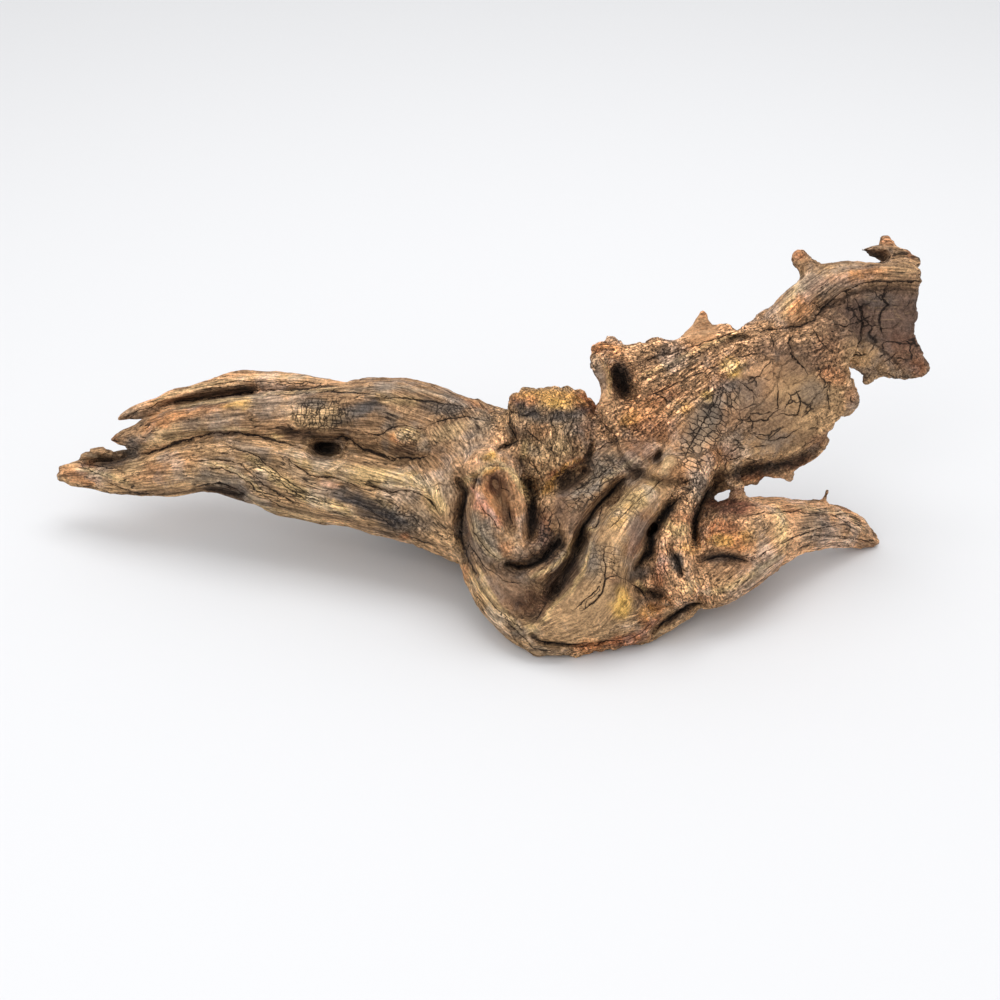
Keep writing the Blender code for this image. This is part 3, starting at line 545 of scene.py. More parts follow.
# %% Fine strokes
SPLITS = {
    "prong split": (1.6, 4, [(76, 466), (88, 470), (100, 474), (110, 479)]),
    "prong split two": (1.6, 4, [(106, 482), (118, 487), (133, 491)]),
    "prong top": (2.2, 5, [(84, 464), (101, 466), (121, 470)]),
    "long split": (2.2, 6, [(139, 454), (148, 454), (161, 450), (173, 444), (192, 438), (211, 433),
        (236, 433), (258, 436), (275, 440), (292, 445), (306, 450)]),
    "second line": (1.4, 3, [(221, 444), (240, 450), (258, 457), (269, 466), (286, 479), (300, 489),
        (311, 496), (323, 500), (339, 507)]),
    "third line": (1.5, 4, [(199, 461), (221, 460), (239, 463), (250, 472), (262, 484), (275, 492),
        (300, 506)]),
    "fourth line": (1.6, 4, [(199, 469), (221, 468), (240, 476), (255, 488), (268, 499), (284, 508)]),
    "edge line": (1.8, 4, [(196, 485), (218, 483), (236, 488), (250, 499)]),
    "straw line": (1.2, 3, [(246, 458), (262, 468), (282, 484), (304, 498), (326, 508)]),
    "slab line": (2, 5, [(176, 402), (200, 399), (224, 396), (250, 391), (285, 390), (340, 385)]),
    "slab grain": (1.2, 2.5, [(206, 386), (240, 381), (286, 382), (330, 384)]),
    "slab tip grain": (1.2, 3, [(122, 418), (136, 412), (152, 406), (166, 400)]),
    "crest grain": (1.2, 2.5, [(262, 398), (310, 392), (352, 392), (400, 398), (440, 404)]),
    "after the hole": (2.4, 7, [(328, 440), (342, 436), (354, 441), (363, 450), (374, 453), (386, 456),
        (398, 463)]),
    "under the knot": (2.2, 6, [(386, 454), (395, 458), (407, 458), (420, 459), (428, 456)]),
    "over the knot": (1.6, 4, [(367, 434), (380, 435), (388, 430), (398, 427), (410, 427), (423, 429),
        (427, 433)]),
    "low split": (2, 5, [(284, 455), (289, 461), (300, 469), (311, 475), (322, 477), (333, 478),
        (348, 483), (361, 488)]),
    "low split two": (2, 5, [(361, 483), (376, 487), (389, 492), (404, 490), (416, 491), (427, 498),
        (435, 507), (440, 516)]),
    "char split": (1.6, 4, [(386, 511), (399, 514), (413, 517), (419, 523), (424, 529)]),
    "char split two": (1.4, 4, [(350, 500), (368, 508), (384, 520), (398, 530)]),
    "char split three": (1.4, 4, [(404, 533), (414, 538), (424, 543), (436, 547)]),
    "upper grain": (1.3, 3, [(376, 400), (396, 397), (424, 402), (452, 404), (480, 410)]),
    "upper grain two": (1.3, 3, [(430, 424), (446, 418), (466, 416), (490, 422)]),
    "waist split": (1.8, 5, [(462, 486), (467, 500), (462, 516), (461, 534), (466, 556), (478, 576)]),
    "collar lines": (1.2, 3, [(470, 516), (474, 532), (484, 548), (500, 560)]),
    "collar lines two": (1.2, 3, [(466, 530), (472, 550), (486, 568), (504, 580), (524, 584)]),
    "under the stub rim": (1.6, 5, [(476, 500), (486, 512), (495, 522), (503, 534)]),
    "stub crack": (1.4, 3, [(499, 478), (502, 488), (512, 492)]),
    "stub crack two": (1.2, 3, [(508, 500), (510, 514), (514, 526)]),
    "hump crack": (1.8, 5, [(523, 427), (532, 434), (541, 442), (541, 448)]),
    "hump crack two": (1.6, 4, [(553, 410), (552, 424), (558, 436)]),
    "hump crack three": (1.6, 4, [(570, 408), (574, 422), (568, 434), (574, 450)]),
    "hump crack four": (1.6, 4, [(512, 412), (524, 416), (534, 412), (546, 418)]),
    "hump crack five": (1.6, 4, [(528, 418), (524, 434), (530, 446)]),
    "hump crack six": (1.6, 4, [(558, 436), (552, 448), (556, 462)]),
    "hump left crease": (2, 6, [(509, 410), (511, 429), (518, 440)]),
    "shelf crack": (2, 6, [(519, 440), (511, 444), (503, 446), (496, 451)]),
    "hump foot": (1.8, 5, [(527, 452), (530, 462), (540, 474), (546, 486)]),
    "neck line": (1.6, 4, [(588, 454), (601, 448), (608, 442), (618, 441)]),
    "fold crack": (1.6, 5, [(566, 497), (586, 484), (601, 475), (613, 465)]),
    "fold crack two": (1.4, 4, [(556, 514), (560, 526), (558, 538)]),
    "main crevice": (2.4, 8, [(626, 476), (618, 484), (606, 497), (596, 508), (588, 520), (581, 531),
        (578, 545)]),
    "nodule edge": (1.8, 5, [(601, 500), (602, 512), (598, 524), (588, 532)]),
    "crescent line": (2.2, 6, [(506, 564), (517, 567), (533, 564), (543, 558), (551, 549)]),
    "fold foot": (1.6, 4, [(546, 604), (541, 614), (534, 624)]),
    "tan crack": (1.5, 4, [(594, 545), (597, 556), (594, 566)]),
    "tan crack two": (1.5, 4, [(606, 544), (604, 558), (606, 574), (602, 592), (594, 602), (580, 612)]),
    "tan crack three": (1.5, 4, [(608, 560), (616, 564), (624, 562)]),
    "tan crack four": (1.2, 3, [(600, 578), (597, 589), (588, 598), (571, 612)]),
    "tan crack five": (1.2, 3, [(604, 578), (618, 577), (626, 580)]),
    "tan upper crack": (1.4, 4, [(604, 532), (618, 520), (632, 506), (650, 492), (664, 478)]),
    "side line": (2.4, 7, [(677, 500), (669, 508), (658, 523), (652, 536), (652, 551), (636, 567)]),
    "side crack": (1.6, 4, [(626, 579), (633, 585), (640, 590), (647, 600), (650, 609)]),
    "knob crack": (1.6, 5, [(692, 506), (697, 520), (692, 536), (698, 552)]),
    "knob crack two": (1.4, 4, [(664, 540), (668, 552), (664, 566), (670, 580)]),
    "blue crack": (1.8, 5, [(672, 550), (678, 562), (683, 576)]),
    "base line": (1.8, 5, [(531, 637), (550, 643), (570, 644), (584, 643)]),
    "base line two": (1.4, 4, [(500, 614), (516, 630), (534, 648), (556, 654)]),
    "bowl line": (1.2, 3, [(478, 584), (494, 606), (512, 622), (528, 634)]),
    "rust cracks": (1.4, 4, [(590, 648), (608, 640), (626, 640), (642, 632), (656, 618)]),
    "groove line": (2, 5, [(656, 631), (666, 621), (679, 611), (691, 602), (702, 603)]),
    "root tip line": (1.6, 4, [(812, 540), (825, 536), (842, 537), (858, 539), (876, 541)]),
    "root line": (1.3, 3, [(752, 562), (768, 550), (790, 540), (812, 530), (838, 524)]),
    "root line two": (1.3, 3, [(742, 516), (768, 512), (800, 512), (832, 515), (856, 527)]),
    "root wedge line": (1.8, 5, [(700, 562), (716, 557), (736, 557), (752, 562)]),
    "leg line": (1.8, 5, [(714, 484), (706, 496), (700, 508), (694, 524), (696, 542)]),
    "link line": (1.6, 4, [(724, 496), (734, 490), (746, 488)]),
    "plate line": (1.8, 5, [(597, 413), (607, 428), (616, 436), (620, 448)]),
    "plate line two": (1.8, 4, [(620, 417), (625, 427), (634, 431), (648, 431)]),
    "plate line three": (1.6, 4, [(652, 392), (665, 398), (674, 407)]),
    "plate grain": (1.3, 3, [(640, 381), (662, 372), (688, 362), (712, 346)]),
    "plate grain two": (1.3, 3, [(648, 396), (676, 384), (706, 370), (740, 356), (768, 352)]),
    "plate grain three": (1.3, 3, [(636, 366), (658, 356), (684, 350), (712, 340), (740, 330)]),
    "strip edge": (1.4, 4, [(683, 462), (690, 445), (700, 430), (710, 410), (718, 396), (728, 390)]),
    "strip edge two": (2, 5, [(712, 447), (720, 455), (732, 459)]),
    "strip edge three": (1.8, 4, [(733, 420), (752, 421), (768, 420), (775, 412)]),
    "block edge": (1.8, 4, [(735, 378), (745, 385), (758, 398)]),
    "block edge two": (1.8, 4, [(770, 335), (774, 343), (770, 352)]),
    "block edge three": (1.8, 4, [(788, 328), (793, 335), (787, 343), (793, 355), (808, 375)]),
    "block edge four": (1.8, 4, [(778, 385), (778, 398), (778, 412)]),
    "block edge five": (1.8, 4, [(795, 390), (800, 400), (798, 415), (780, 413)]),
    "block edge six": (1.6, 4, [(830, 412), (828, 400), (828, 388)]),
    "block edge seven": (1.6, 4, [(748, 432), (764, 440), (786, 438), (802, 426)]),
    "seam line": (2, 5, [(760, 332), (780, 328), (800, 326), (815, 319), (822, 309), (830, 301),
        (845, 291), (862, 283), (880, 281), (920, 282)]),
    "arm crack": (1.8, 4, [(847, 290), (848, 300), (846, 312)]),
    "arm crack two": (2, 5, [(853, 298), (860, 308), (862, 320), (862, 334), (856, 350)]),
    "arm crack three": (1.8, 4, [(888, 283), (882, 297), (888, 305), (880, 313), (880, 325),
        (884, 340)]),
    "arm crack four": (2, 5, [(813, 303), (823, 311)]),
    "arm crack five": (1.8, 4, [(812, 325), (819, 340), (832, 352)]),
    "arm crack six": (1.6, 4, [(897, 350), (890, 360), (897, 370)]),
    "arm crack seven": (1.6, 4, [(862, 320), (846, 326), (828, 324)]),
    "arm crack eight": (1.6, 4, [(884, 340), (900, 344), (916, 342)]),
    "prong line": (1.6, 4, [(860, 258), (874, 262), (892, 262)]),
}
# Knobs that stand out all round: x, y, depth, size in drawn units, and height in mm.
KNOBS = {
    "crest tip": (703, 305, -49, 6, 2.2), "horn tip": (590, 341, -48, 6, 1.8),
    "tooth tip": (606, 335, -58, 5, 2.0), "hump left corner": (513, 399, -58, 9, 2.4),
    "hump crown left": (526, 390, -58, 7, 1.6), "hump crown dip": (538, 388, -58, 7, -0.9),
    "hump crown right": (580, 395, -60, 8, 2.2), "hump right corner": (591, 406, -64, 8, 2.2),
    "hump crown dip two": (560, 386, -58, 6, -0.8), "hump left side": (508, 416, -44, 8, 1.4),
    "hump brow": (530, 404, -32, 10, 1.6), "hump brow two": (568, 406, -30, 11, 1.8),
    "hump cheek": (540, 428, -12, 9, 1.3), "hump cheek two": (566, 440, -12, 8, 1.2),
    "hump chin": (536, 458, -10, 8, 1.6), "hump pit": (552, 418, -12, 8, -1.6),
    "hump pit two": (528, 440, -16, 7, -1.4), "hump pit three": (574, 424, -16, 7, -1.4),
    "crumbly rim": (556, 478, -4, 7, 1.4), "crumbly rim two": (570, 464, -8, 7, 1.4),
    "stub knob": (486, 456, -18, 8, 1.4), "plate tooth": (640, 342, -44, 6, 1.0),
    "plate tooth two": (664, 340, -46, 6, 1.0), "plate tooth three": (744, 330, -44, 6, 1.0),
    "plate corner": (846, 414, -60, 8, 1.2), "plate corner two": (828, 440, -62, 7, 1.4),
    "plate corner three": (792, 478, -68, 7, 1.6), "plate corner four": (756, 484, -66, 6, 1.4),
    "arm corner": (924, 366, -80, 8, 1.4), "arm corner two": (866, 382, -80, 6, 1.4),
    "arm shoulder": (916, 262, -60, 8, 1.6), "root chip": (664, 602, 6, 7, 1.6),
    "base chip": (536, 652, 4, 8, 1.2), "base chip two": (578, 654, 6, 7, 1.0),
    "base chip three": (616, 648, 2, 7, 1.0), "tan corner": (538, 640, 10, 8, 1.2),
}
# Knots and hollows on the back: x, y, size in drawn units, and height in mm.
BACK_MARKS = [
    (250, 424, 14, 2.2), (250, 424, 6, -4.0), (350, 436, 22, -2.2), (430, 440, 18, 3.0),
    (430, 438, 7, -4.5), (500, 486, 24, -2.8), (560, 452, 22, 3.4), (566, 446, 9, -5.0),
    (600, 500, 22, -3.0), (612, 420, 14, -2.6), (664, 420, 15, 2.6), (664, 418, 6, -3.6),
    (700, 486, 16, 2.8), (704, 484, 7, -4.0), (744, 380, 14, -2.4), (800, 346, 16, -2.4),
    (836, 330, 9, 2.0), (880, 330, 18, -2.4), (160, 440, 14, -1.8), (770, 530, 14, -2.2),
    (190, 396, 10, -1.6), (320, 402, 12, 1.8),
]
# Sizes in metres: along the grain, across it and through it for the fibres. A gap is a share of its
# block.
FIBRE_SIZE = (0.040, 0.0034, 0.0034)
FINE_FIBRE_SIZE = (0.018, 0.0015, 0.0015)
LUMP_SIZE = 0.0085
CRUMB_SIZE = 0.0030
BLOCK_SIZE = 0.0100
BLOCK_GAP = 0.13
FLAKE_SIZE = 0.0036
ROUGH_PATCH = 0.012
# How much each pattern counts in the lift of its kind: streaks, crumbs and blocks.
FIBRE_LIFT, FINE_FIBRE_LIFT = 0.55, 0.3
LUMP_LIFT, CRUMB_LIFT = 0.4, 0.25
FLAKE_LIFT, SMALL_FLAKE_LIFT = 0.75, 0.5
BLOCK_LIFT = 0.35
# In drawn units: how far a split's mark reaches, and how long a split takes to open from its end.
SPLIT_REACH = 12
SPLIT_TAPER = 16
# The share of a split's depth that is cut into the net, which is too coarse for the rest.
CUT_SHARE = 0.5


def crossed(places, size, stretch, seed):
    """Block noise in straightened places, with blocks longer along the grain by so many times."""
    return cell_noise(places / (size * np.array((stretch, 1.0, 1.0))), seed)


def ridged(places, seed, height, drop):
    """Soft noise folded at nought, which leaves round ridges with sharp valleys between them."""
    return height * np.abs(soft_noise(places, seed, 2)) - drop


places = rows("co")
normals = rows("normal")
grain, style = straightened(places)
streaks, crumbs, blocks = style.T / 1000
patchy = eased(0.5 + 0.9 * soft_noise(places / ROUGH_PATCH, 21))
fibre = ridged(grain / FIBRE_SIZE, 31, 2.4, 0.9)
fine_fibre = soft_noise(grain / FINE_FIBRE_SIZE, 35, 2)
lumps = ridged(places / LUMP_SIZE, 44, 2.2, 0.8)
crumb = soft_noise(places / CRUMB_SIZE, 41, 2)
flake = crossed(grain, FLAKE_SIZE, 2.4, 57)[1]
small_flake = crossed(grain, 0.5 * FLAKE_SIZE, 1.8, 67)[1]
block_gap, block_number = crossed(grain, BLOCK_SIZE, 1.3, 51)
block_shape = eased(block_gap / BLOCK_GAP) - 1 + BLOCK_LIFT * (block_number - 0.5)
lift = streaks * (FIBRE_LIFT * fibre + FINE_FIBRE_LIFT * fine_fibre) * (0.5 + 0.7 * patchy)
chips = FLAKE_LIFT * (flake - 0.5) + SMALL_FLAKE_LIFT * (small_flake - 0.5)
lift += crumbs * (LUMP_LIFT * lumps + CRUMB_LIFT * crumb + chips) * (0.5 + 0.7 * (1 - patchy))
lift += blocks * block_shape
for x, y, depth, size, height in KNOBS.values():
    middle = real([(x, y, depth)])[0]
    gap = np.linalg.norm(places - middle, axis=1) / (size * UNIT)
    lift += height / 1000 * eased(1.2 - gap)
flat = wobbled(drawn(places)[:, :2], 9.0, 2.5, 23)
away = np.clip(-3 * (normals @ TO_VIEWER), 0, 1)
for x, y, size, height in BACK_MARKS:
    lift += height / 1000 * away * dab(flat, x, y, 1.2 * size, size)
places += normals * lift[:, None]
log.data.vertices.foreach_set("co", places.ravel())
log.data.update()

flat = wobbled(drawn(rows("co"))[:, :2], 7.0, 1.3, 13)
cuts = np.zeros(len(flat))
for half_width, depth, line in SPLITS.values():
    near = near_box(flat, line, SPLIT_REACH)
    gap, from_end = line_gap(flat[near], line)
    open_share = eased(0.2 + from_end / SPLIT_TAPER)
    cut = CUT_SHARE * depth * open_share * np.clip(1.2 - np.abs(gap) / half_width, 0, 1)
    cuts[near] = np.maximum(cuts[near], cut)
pushed(cuts)
print(len(SPLITS), "splits;", "fibres lift the wood by up to", round(lift.max() * 1000, 2), "mm")

# %% [markdown]
# ## Where dirt, painted shade and wear go
#
# Dirt gathers where the surface is lower than its surroundings, and wear polishes what stands
# proud. The low places also get painted shade: darker paint that stands in for the shade in splits
# and folds. To find them, a copy of the points is averaged with its neighbours again and again, and
# each point is compared with that softened copy: a few rounds find splits and fibres, many rounds
# find folds. A pointiness node does the same while it renders, but its result depends on the net, so
# here it is stored on the points.

# %% Measure the hollows
THIN_TO = 188000
SPLIT_ROUNDS = 5
FOLD_ROUNDS = 60


def height_over_softened(rounds):
    """How far each point stands above the surface softened by so many rounds, in mm."""
    places = rows("co")
    count = len(places)
    edges = np.empty(len(log.data.edges) * 2, np.int64)
    log.data.edges.foreach_get("vertices", edges)
    one, other = edges[0::2], edges[1::2]
    neighbours = np.bincount(one, minlength=count) + np.bincount(other, minlength=count)
    soft = places.copy()
    for _ in range(rounds):
        for axis in range(3):
            total = np.bincount(one, soft[other, axis], count) + np.bincount(other, soft[one, axis], count)
            soft[:, axis] = 0.5 * soft[:, axis] + 0.5 * total / neighbours
    return ((places - soft) * rows("normal")).sum(axis=1) * 1000


def store(name, values):
    """Keeps numbers on the log's points: one number, or three for a vector or a colour."""
    values = np.asarray(values, np.float32)
    if values.ndim == 1:
        kind, field = "FLOAT", "value"
    elif values.shape[1] == 3:
        kind, field = "FLOAT_VECTOR", "vector"
    else:
        kind, field = "FLOAT_COLOR", "color"
    attribute = log.data.attributes.new(name, kind, "POINT")
    attribute.data.foreach_set(field, values.ravel())


store("small_hollow", height_over_softened(SPLIT_ROUNDS) / (0.6 + 0.45 * style.sum(axis=1)))
store("wide_hollow", height_over_softened(FOLD_ROUNDS))
log.data.calc_loop_triangles()
apply_modifier("DECIMATE", ratio=THIN_TO / len(log.data.loop_triangles))
log.data.calc_loop_triangles()
print("Thinned to", len(log.data.loop_triangles), "triangles")

# %% [markdown]
# ## Colours, one by one
#
# The wood has one warm brown all over, and then patches: straw where the fibres are fresh, grey where
# it has weathered, char where it was burnt, rust and ochre where the bark has crumbled. Dark patches
# and lines in holes, crevices and under overhangs are painted shade, and pale lines along rims and
# crests are partly painted highlight. Each patch is a named colour dabbed on at a place, like paint on
# a brush, over the brown of its flow. The places are shifted by noise first, so no dab shows its oval.

# %% Named colours and dabs
COLOURS = {
    "brown": (149, 116, 85), "tan": (171, 136, 98), "clay": (196, 150, 110), "pale": (190, 160, 118),
    "straw": (204, 171, 120), "ochre": (202, 150, 82), "yellow": (222, 174, 88), "rust": (160, 99, 62),
    "red": (112, 70, 52), "pink": (206, 142, 118), "grey": (134, 121, 104), "slate": (88, 84, 80),
    "char": (52, 49, 50), "dark": (70, 52, 42), "bark": (106, 83, 70), "orange": (192, 132, 84),
    "black": (24, 19, 17),
}
FLOW_COLOURS = {
    "lower limb": "tan", "upper limb": "brown", "slab": "clay", "limb's back": "brown", "keel": "tan",
    "bowl": "brown", "stub": "clay", "hump": "tan", "lit ridge": "brown", "tan fold": "tan",
    "knobby ridge": "clay", "root": "clay", "root's back": "brown", "plate": "clay",
    "plate side": "clay", "low plate": "clay", "plate corner": "tan", "arm": "bark", "arm rim": "brown",
    "belly's back": "brown", "back foot": "brown",
}
# Colour, x, y, half width, half height, turn in degrees, strength. The dark and black dabs sit in
# holes, pockets, crevices and under overhangs, and are painted shade; the other dabs are the wood's
# own colours.
DABS = [
    ("tan", 90, 478, 40, 12, 8, 0.5), ("rust", 78, 470, 22, 8, -10, 0.6),
    ("rust", 84, 482, 16, 6, 10, 0.5), ("rust", 108, 440, 10, 6, 0, 0.6),
    ("slate", 132, 450, 12, 14, 20, 0.8), ("dark", 112, 461, 20, 8, 5, 0.7),
    ("brown", 90, 455, 18, 6, -20, 0.6), ("orange", 160, 422, 22, 8, -20, 0.7),
    ("orange", 200, 410, 34, 8, -12, 0.6), ("yellow", 238, 403, 18, 6, -5, 0.5),
    ("pale", 166, 436, 26, 8, -18, 0.6), ("slate", 190, 424, 12, 8, 0, 0.5),
    ("grey", 215, 420, 30, 12, 0, 0.35), ("slate", 264, 413, 14, 7, 0, 0.6),
    ("rust", 150, 474, 24, 12, -10, 0.35), ("orange", 175, 462, 30, 10, -12, 0.35),
    ("pale", 136, 468, 12, 8, 0, 0.4), ("grey", 216, 480, 34, 8, 4, 0.6),
    ("slate", 238, 492, 26, 8, 30, 0.7), ("slate", 250, 448, 22, 6, 12, 0.6),
    ("slate", 262, 455, 12, 8, 30, 0.5), ("straw", 268, 472, 24, 5, 45, 0.9),
    ("straw", 300, 492, 28, 5, 35, 0.9), ("straw", 336, 508, 24, 5, 28, 0.8),
    ("straw", 262, 505, 20, 5, 28, 0.7), ("pale", 300, 516, 30, 6, 14, 0.6),
    ("tan", 160, 488, 50, 8, 0, 0.4), ("dark", 222, 491, 28, 6, 5, 0.9),
    ("dark", 215, 402, 46, 6, -10, 0.85), ("black", 236, 396, 26, 4, -10, 0.5),
    ("dark", 134, 417, 22, 6, -22, 0.7), ("pale", 210, 388, 40, 8, -10, 0.4),
    ("tan", 290, 378, 50, 8, 0, 0.5), ("orange", 160, 400, 12, 6, -10, 0.5),
    ("grey", 130, 412, 14, 5, -25, 0.5), ("pale", 318, 416, 34, 16, 0, 0.55),
    ("tan", 280, 404, 40, 8, 0, 0.4), ("slate", 315, 404, 16, 5, 0, 0.7),
    ("slate", 362, 408, 22, 8, -8, 0.85), ("char", 374, 406, 18, 6, 0, 0.7),
    ("slate", 344, 420, 14, 5, -20, 0.6), ("slate", 390, 414, 16, 6, 20, 0.6),
    ("dark", 300, 433, 26, 6, 8, 0.8), ("black", 325, 449, 16, 9, 5, 0.97),
    ("dark", 322, 460, 24, 4, 5, 0.6), ("brown", 352, 456, 16, 6, 20, 0.4),
    ("straw", 276, 436, 8, 4, 0, 0.9), ("straw", 304, 460, 22, 6, 30, 0.5),
    ("grey", 300, 474, 22, 6, 35, 0.4), ("pale", 340, 470, 30, 8, 15, 0.5),
    ("straw", 392, 478, 44, 10, 6, 0.85), ("straw", 436, 500, 10, 18, -25, 0.85),
    ("orange", 330, 483, 14, 4, 10, 0.8), ("char", 348, 496, 26, 9, 15, 0.8),
    ("char", 376, 510, 34, 12, 22, 0.85), ("slate", 404, 522, 26, 12, 30, 0.7),
    ("char", 392, 528, 20, 6, 25, 0.6), ("pale", 384, 504, 16, 5, 25, 0.5),
    ("slate", 424, 520, 16, 12, 30, 0.5), ("brown", 430, 545, 26, 8, 25, 0.6),
    ("rust", 406, 538, 5, 4, 0, 0.7), ("grey", 418, 506, 16, 8, 30, 0.4),
    ("orange", 396, 437, 7, 6, 0, 0.9), ("straw", 408, 434, 16, 7, 0, 0.7),
    ("dark", 406, 452, 18, 6, 4, 0.8), ("slate", 386, 446, 6, 8, 0, 0.6),
    ("grey", 422, 446, 8, 9, 0, 0.7), ("slate", 388, 425, 10, 5, -20, 0.6),
    ("straw", 396, 398, 30, 6, 6, 0.5), ("brown", 380, 392, 50, 6, 0, 0.4),
    ("slate", 446, 408, 20, 9, 0, 0.75), ("char", 426, 404, 10, 8, 0, 0.6),
    ("brown", 440, 396, 36, 6, 18, 0.6), ("rust", 470, 404, 24, 4, 18, 0.4),
    ("pale", 450, 432, 24, 9, -20, 0.55), ("grey", 480, 424, 16, 14, 0, 0.6),
    ("grey", 470, 446, 24, 12, -30, 0.5), ("brown", 450, 462, 18, 12, -30, 0.5),
    ("grey", 448, 486, 12, 20, 0, 0.5), ("dark", 464, 500, 6, 26, 5, 0.75),
    ("dark", 466, 540, 7, 24, -5, 0.7), ("slate", 484, 548, 14, 22, -25, 0.55),
    ("grey", 488, 540, 12, 26, -25, 0.7), ("grey", 478, 520, 8, 14, -20, 0.6),
    ("red", 470, 524, 6, 12, 0, 0.4), ("rust", 466, 572, 8, 10, -20, 0.5),
    ("orange", 498, 500, 24, 28, -20, 0.8), ("ochre", 492, 466, 16, 7, -20, 0.8),
    ("yellow", 488, 456, 9, 5, -10, 0.8), ("pink", 484, 506, 12, 7, 45, 0.6),
    ("straw", 520, 484, 6, 16, -30, 0.8), ("straw", 468, 480, 6, 6, 0, 0.8),
    ("red", 494, 484, 11, 13, 0, 0.85), ("brown", 506, 500, 13, 18, -20, 0.8),
    ("bark", 508, 520, 10, 16, -15, 0.6), ("dark", 494, 480, 7, 8, 0, 0.5),
    ("tan", 512, 538, 12, 18, -10, 0.7), ("rust", 506, 548, 10, 8, 0, 0.4),
    ("slate", 478, 480, 5, 7, 0, 0.8), ("char", 478, 476, 4, 5, 0, 0.5),
    ("ochre", 555, 397, 36, 8, 2, 0.75), ("yellow", 556, 404, 14, 7, 0, 0.45),
    ("rust", 522, 400, 18, 8, -10, 0.7), ("rust", 584, 400, 14, 9, 20, 0.8),
    ("red", 590, 408, 10, 6, 0, 0.7), ("char", 526, 411, 18, 9, 25, 0.9),
    ("char", 560, 418, 10, 8, 0, 0.6), ("char", 577, 411, 14, 7, -25, 0.85),
    ("slate", 548, 420, 30, 8, 0, 0.5), ("slate", 582, 424, 14, 12, 0, 0.6),
    ("pale", 548, 442, 30, 18, 0, 0.35), ("brown", 560, 444, 26, 16, 0, 0.4),
    ("red", 584, 432, 12, 16, 0, 0.4), ("rust", 540, 432, 14, 9, 0, 0.4),
    ("bark", 522, 430, 10, 12, 0, 0.5), ("pale", 562, 448, 9, 8, 0, 0.5),
    ("dark", 546, 412, 8, 5, 0, 0.6), ("dark", 574, 444, 7, 9, 0, 0.5),
    ("grey", 532, 450, 9, 7, 0, 0.5), ("straw", 524, 450, 5, 12, 0, 0.8),
    ("brown", 508, 446, 16, 8, -20, 0.6), ("dark", 512, 432, 5, 10, 0, 0.7),
    ("rust", 562, 470, 22, 5, -30, 0.8), ("ochre", 548, 486, 5, 8, 30, 0.8),
    ("red", 578, 460, 10, 5, -10, 0.7), ("dark", 568, 480, 18, 13, -20, 0.9),
    ("bark", 560, 505, 10, 20, 10, 0.7), ("dark", 588, 458, 6, 14, 0, 0.9),
    ("orange", 586, 470, 8, 4, 0, 0.5), ("black", 527, 486, 9, 12, 0, 0.9),
    ("black", 522, 464, 7, 7, 0, 0.7), ("dark", 532, 512, 8, 24, 0, 0.9),
    ("red", 545, 528, 8, 24, 0, 0.7), ("bark", 540, 548, 20, 8, -15, 0.6),
    ("grey", 604, 466, 24, 12, -30, 0.6), ("grey", 590, 486, 26, 9, -38, 0.7),
    ("bark", 575, 520, 14, 18, 30, 0.6), ("grey", 592, 524, 9, 10, 30, 0.5),
    ("straw", 592, 530, 7, 2, -10, 0.8), ("slate", 604, 446, 12, 8, -20, 0.4),
    ("black", 582, 540, 8, 14, 25, 0.7), ("dark", 566, 564, 18, 12, -40, 0.9),
    ("black", 560, 545, 8, 8, 30, 0.85), ("dark", 545, 560, 16, 6, -25, 0.8),
    ("grey", 560, 560, 5, 16, 40, 0.6), ("dark", 572, 574, 12, 18, 25, 0.8),
    ("bark", 556, 588, 16, 14, -30, 0.7), ("red", 530, 604, 30, 14, 0, 0.5),
    ("bark", 510, 590, 26, 18, 20, 0.5), ("slate", 516, 576, 22, 8, 10, 0.4),
    ("dark", 536, 618, 12, 10, 0, 0.6), ("straw", 482, 590, 6, 26, -35, 0.6),
    ("pale", 496, 616, 10, 16, -40, 0.5), ("char", 516, 632, 12, 8, 30, 0.6),
    ("grey", 548, 652, 24, 6, 8, 0.5), ("tan", 584, 610, 40, 26, -20, 0.7),
    ("grey", 594, 560, 16, 22, 0, 0.55), ("tan", 610, 556, 16, 24, 0, 0.3),
    ("straw", 628, 508, 26, 14, -45, 0.85), ("ochre", 622, 516, 16, 8, -45, 0.5),
    ("straw", 646, 490, 18, 8, -45, 0.6), ("red", 640, 520, 12, 18, 40, 0.55),
    ("rust", 634, 545, 10, 16, 20, 0.6), ("bark", 644, 536, 8, 20, 30, 0.6),
    ("straw", 530, 630, 8, 6, 30, 0.8), ("yellow", 622, 608, 13, 12, 0, 0.8),
    ("yellow", 622, 594, 7, 12, 0, 0.6), ("dark", 616, 588, 6, 8, 30, 0.5),
    ("red", 614, 578, 12, 6, 0, 0.4), ("dark", 636, 602, 6, 8, 0, 0.7),
    ("black", 664, 518, 8, 20, 35, 0.8), ("black", 650, 546, 7, 18, 20, 0.8),
    ("dark", 642, 576, 16, 8, -15, 0.8), ("slate", 640, 572, 12, 6, -20, 0.5),
    ("straw", 640, 586, 7, 3, 30, 0.8), ("dark", 656, 592, 12, 8, 0, 0.8),
    ("bark", 650, 602, 12, 8, 0, 0.6), ("orange", 592, 648, 20, 8, -5, 0.9),
    ("rust", 626, 640, 28, 9, -14, 0.9), ("rust", 650, 616, 16, 12, -40, 0.8),
    ("ochre", 648, 612, 12, 8, -20, 0.6), ("brown", 560, 652, 26, 6, 5, 0.5),
    ("straw", 676, 528, 14, 12, 0, 0.8), ("rust", 682, 518, 14, 8, 0, 0.6),
    ("ochre", 690, 548, 14, 8, 0, 0.6), ("pink", 662, 566, 8, 16, 0, 0.5),
    ("rust", 660, 582, 8, 8, 0, 0.6), ("slate", 676, 562, 8, 15, -20, 0.85),
    ("char", 678, 566, 4, 10, -20, 0.7), ("orange", 664, 602, 9, 6, -20, 0.7),
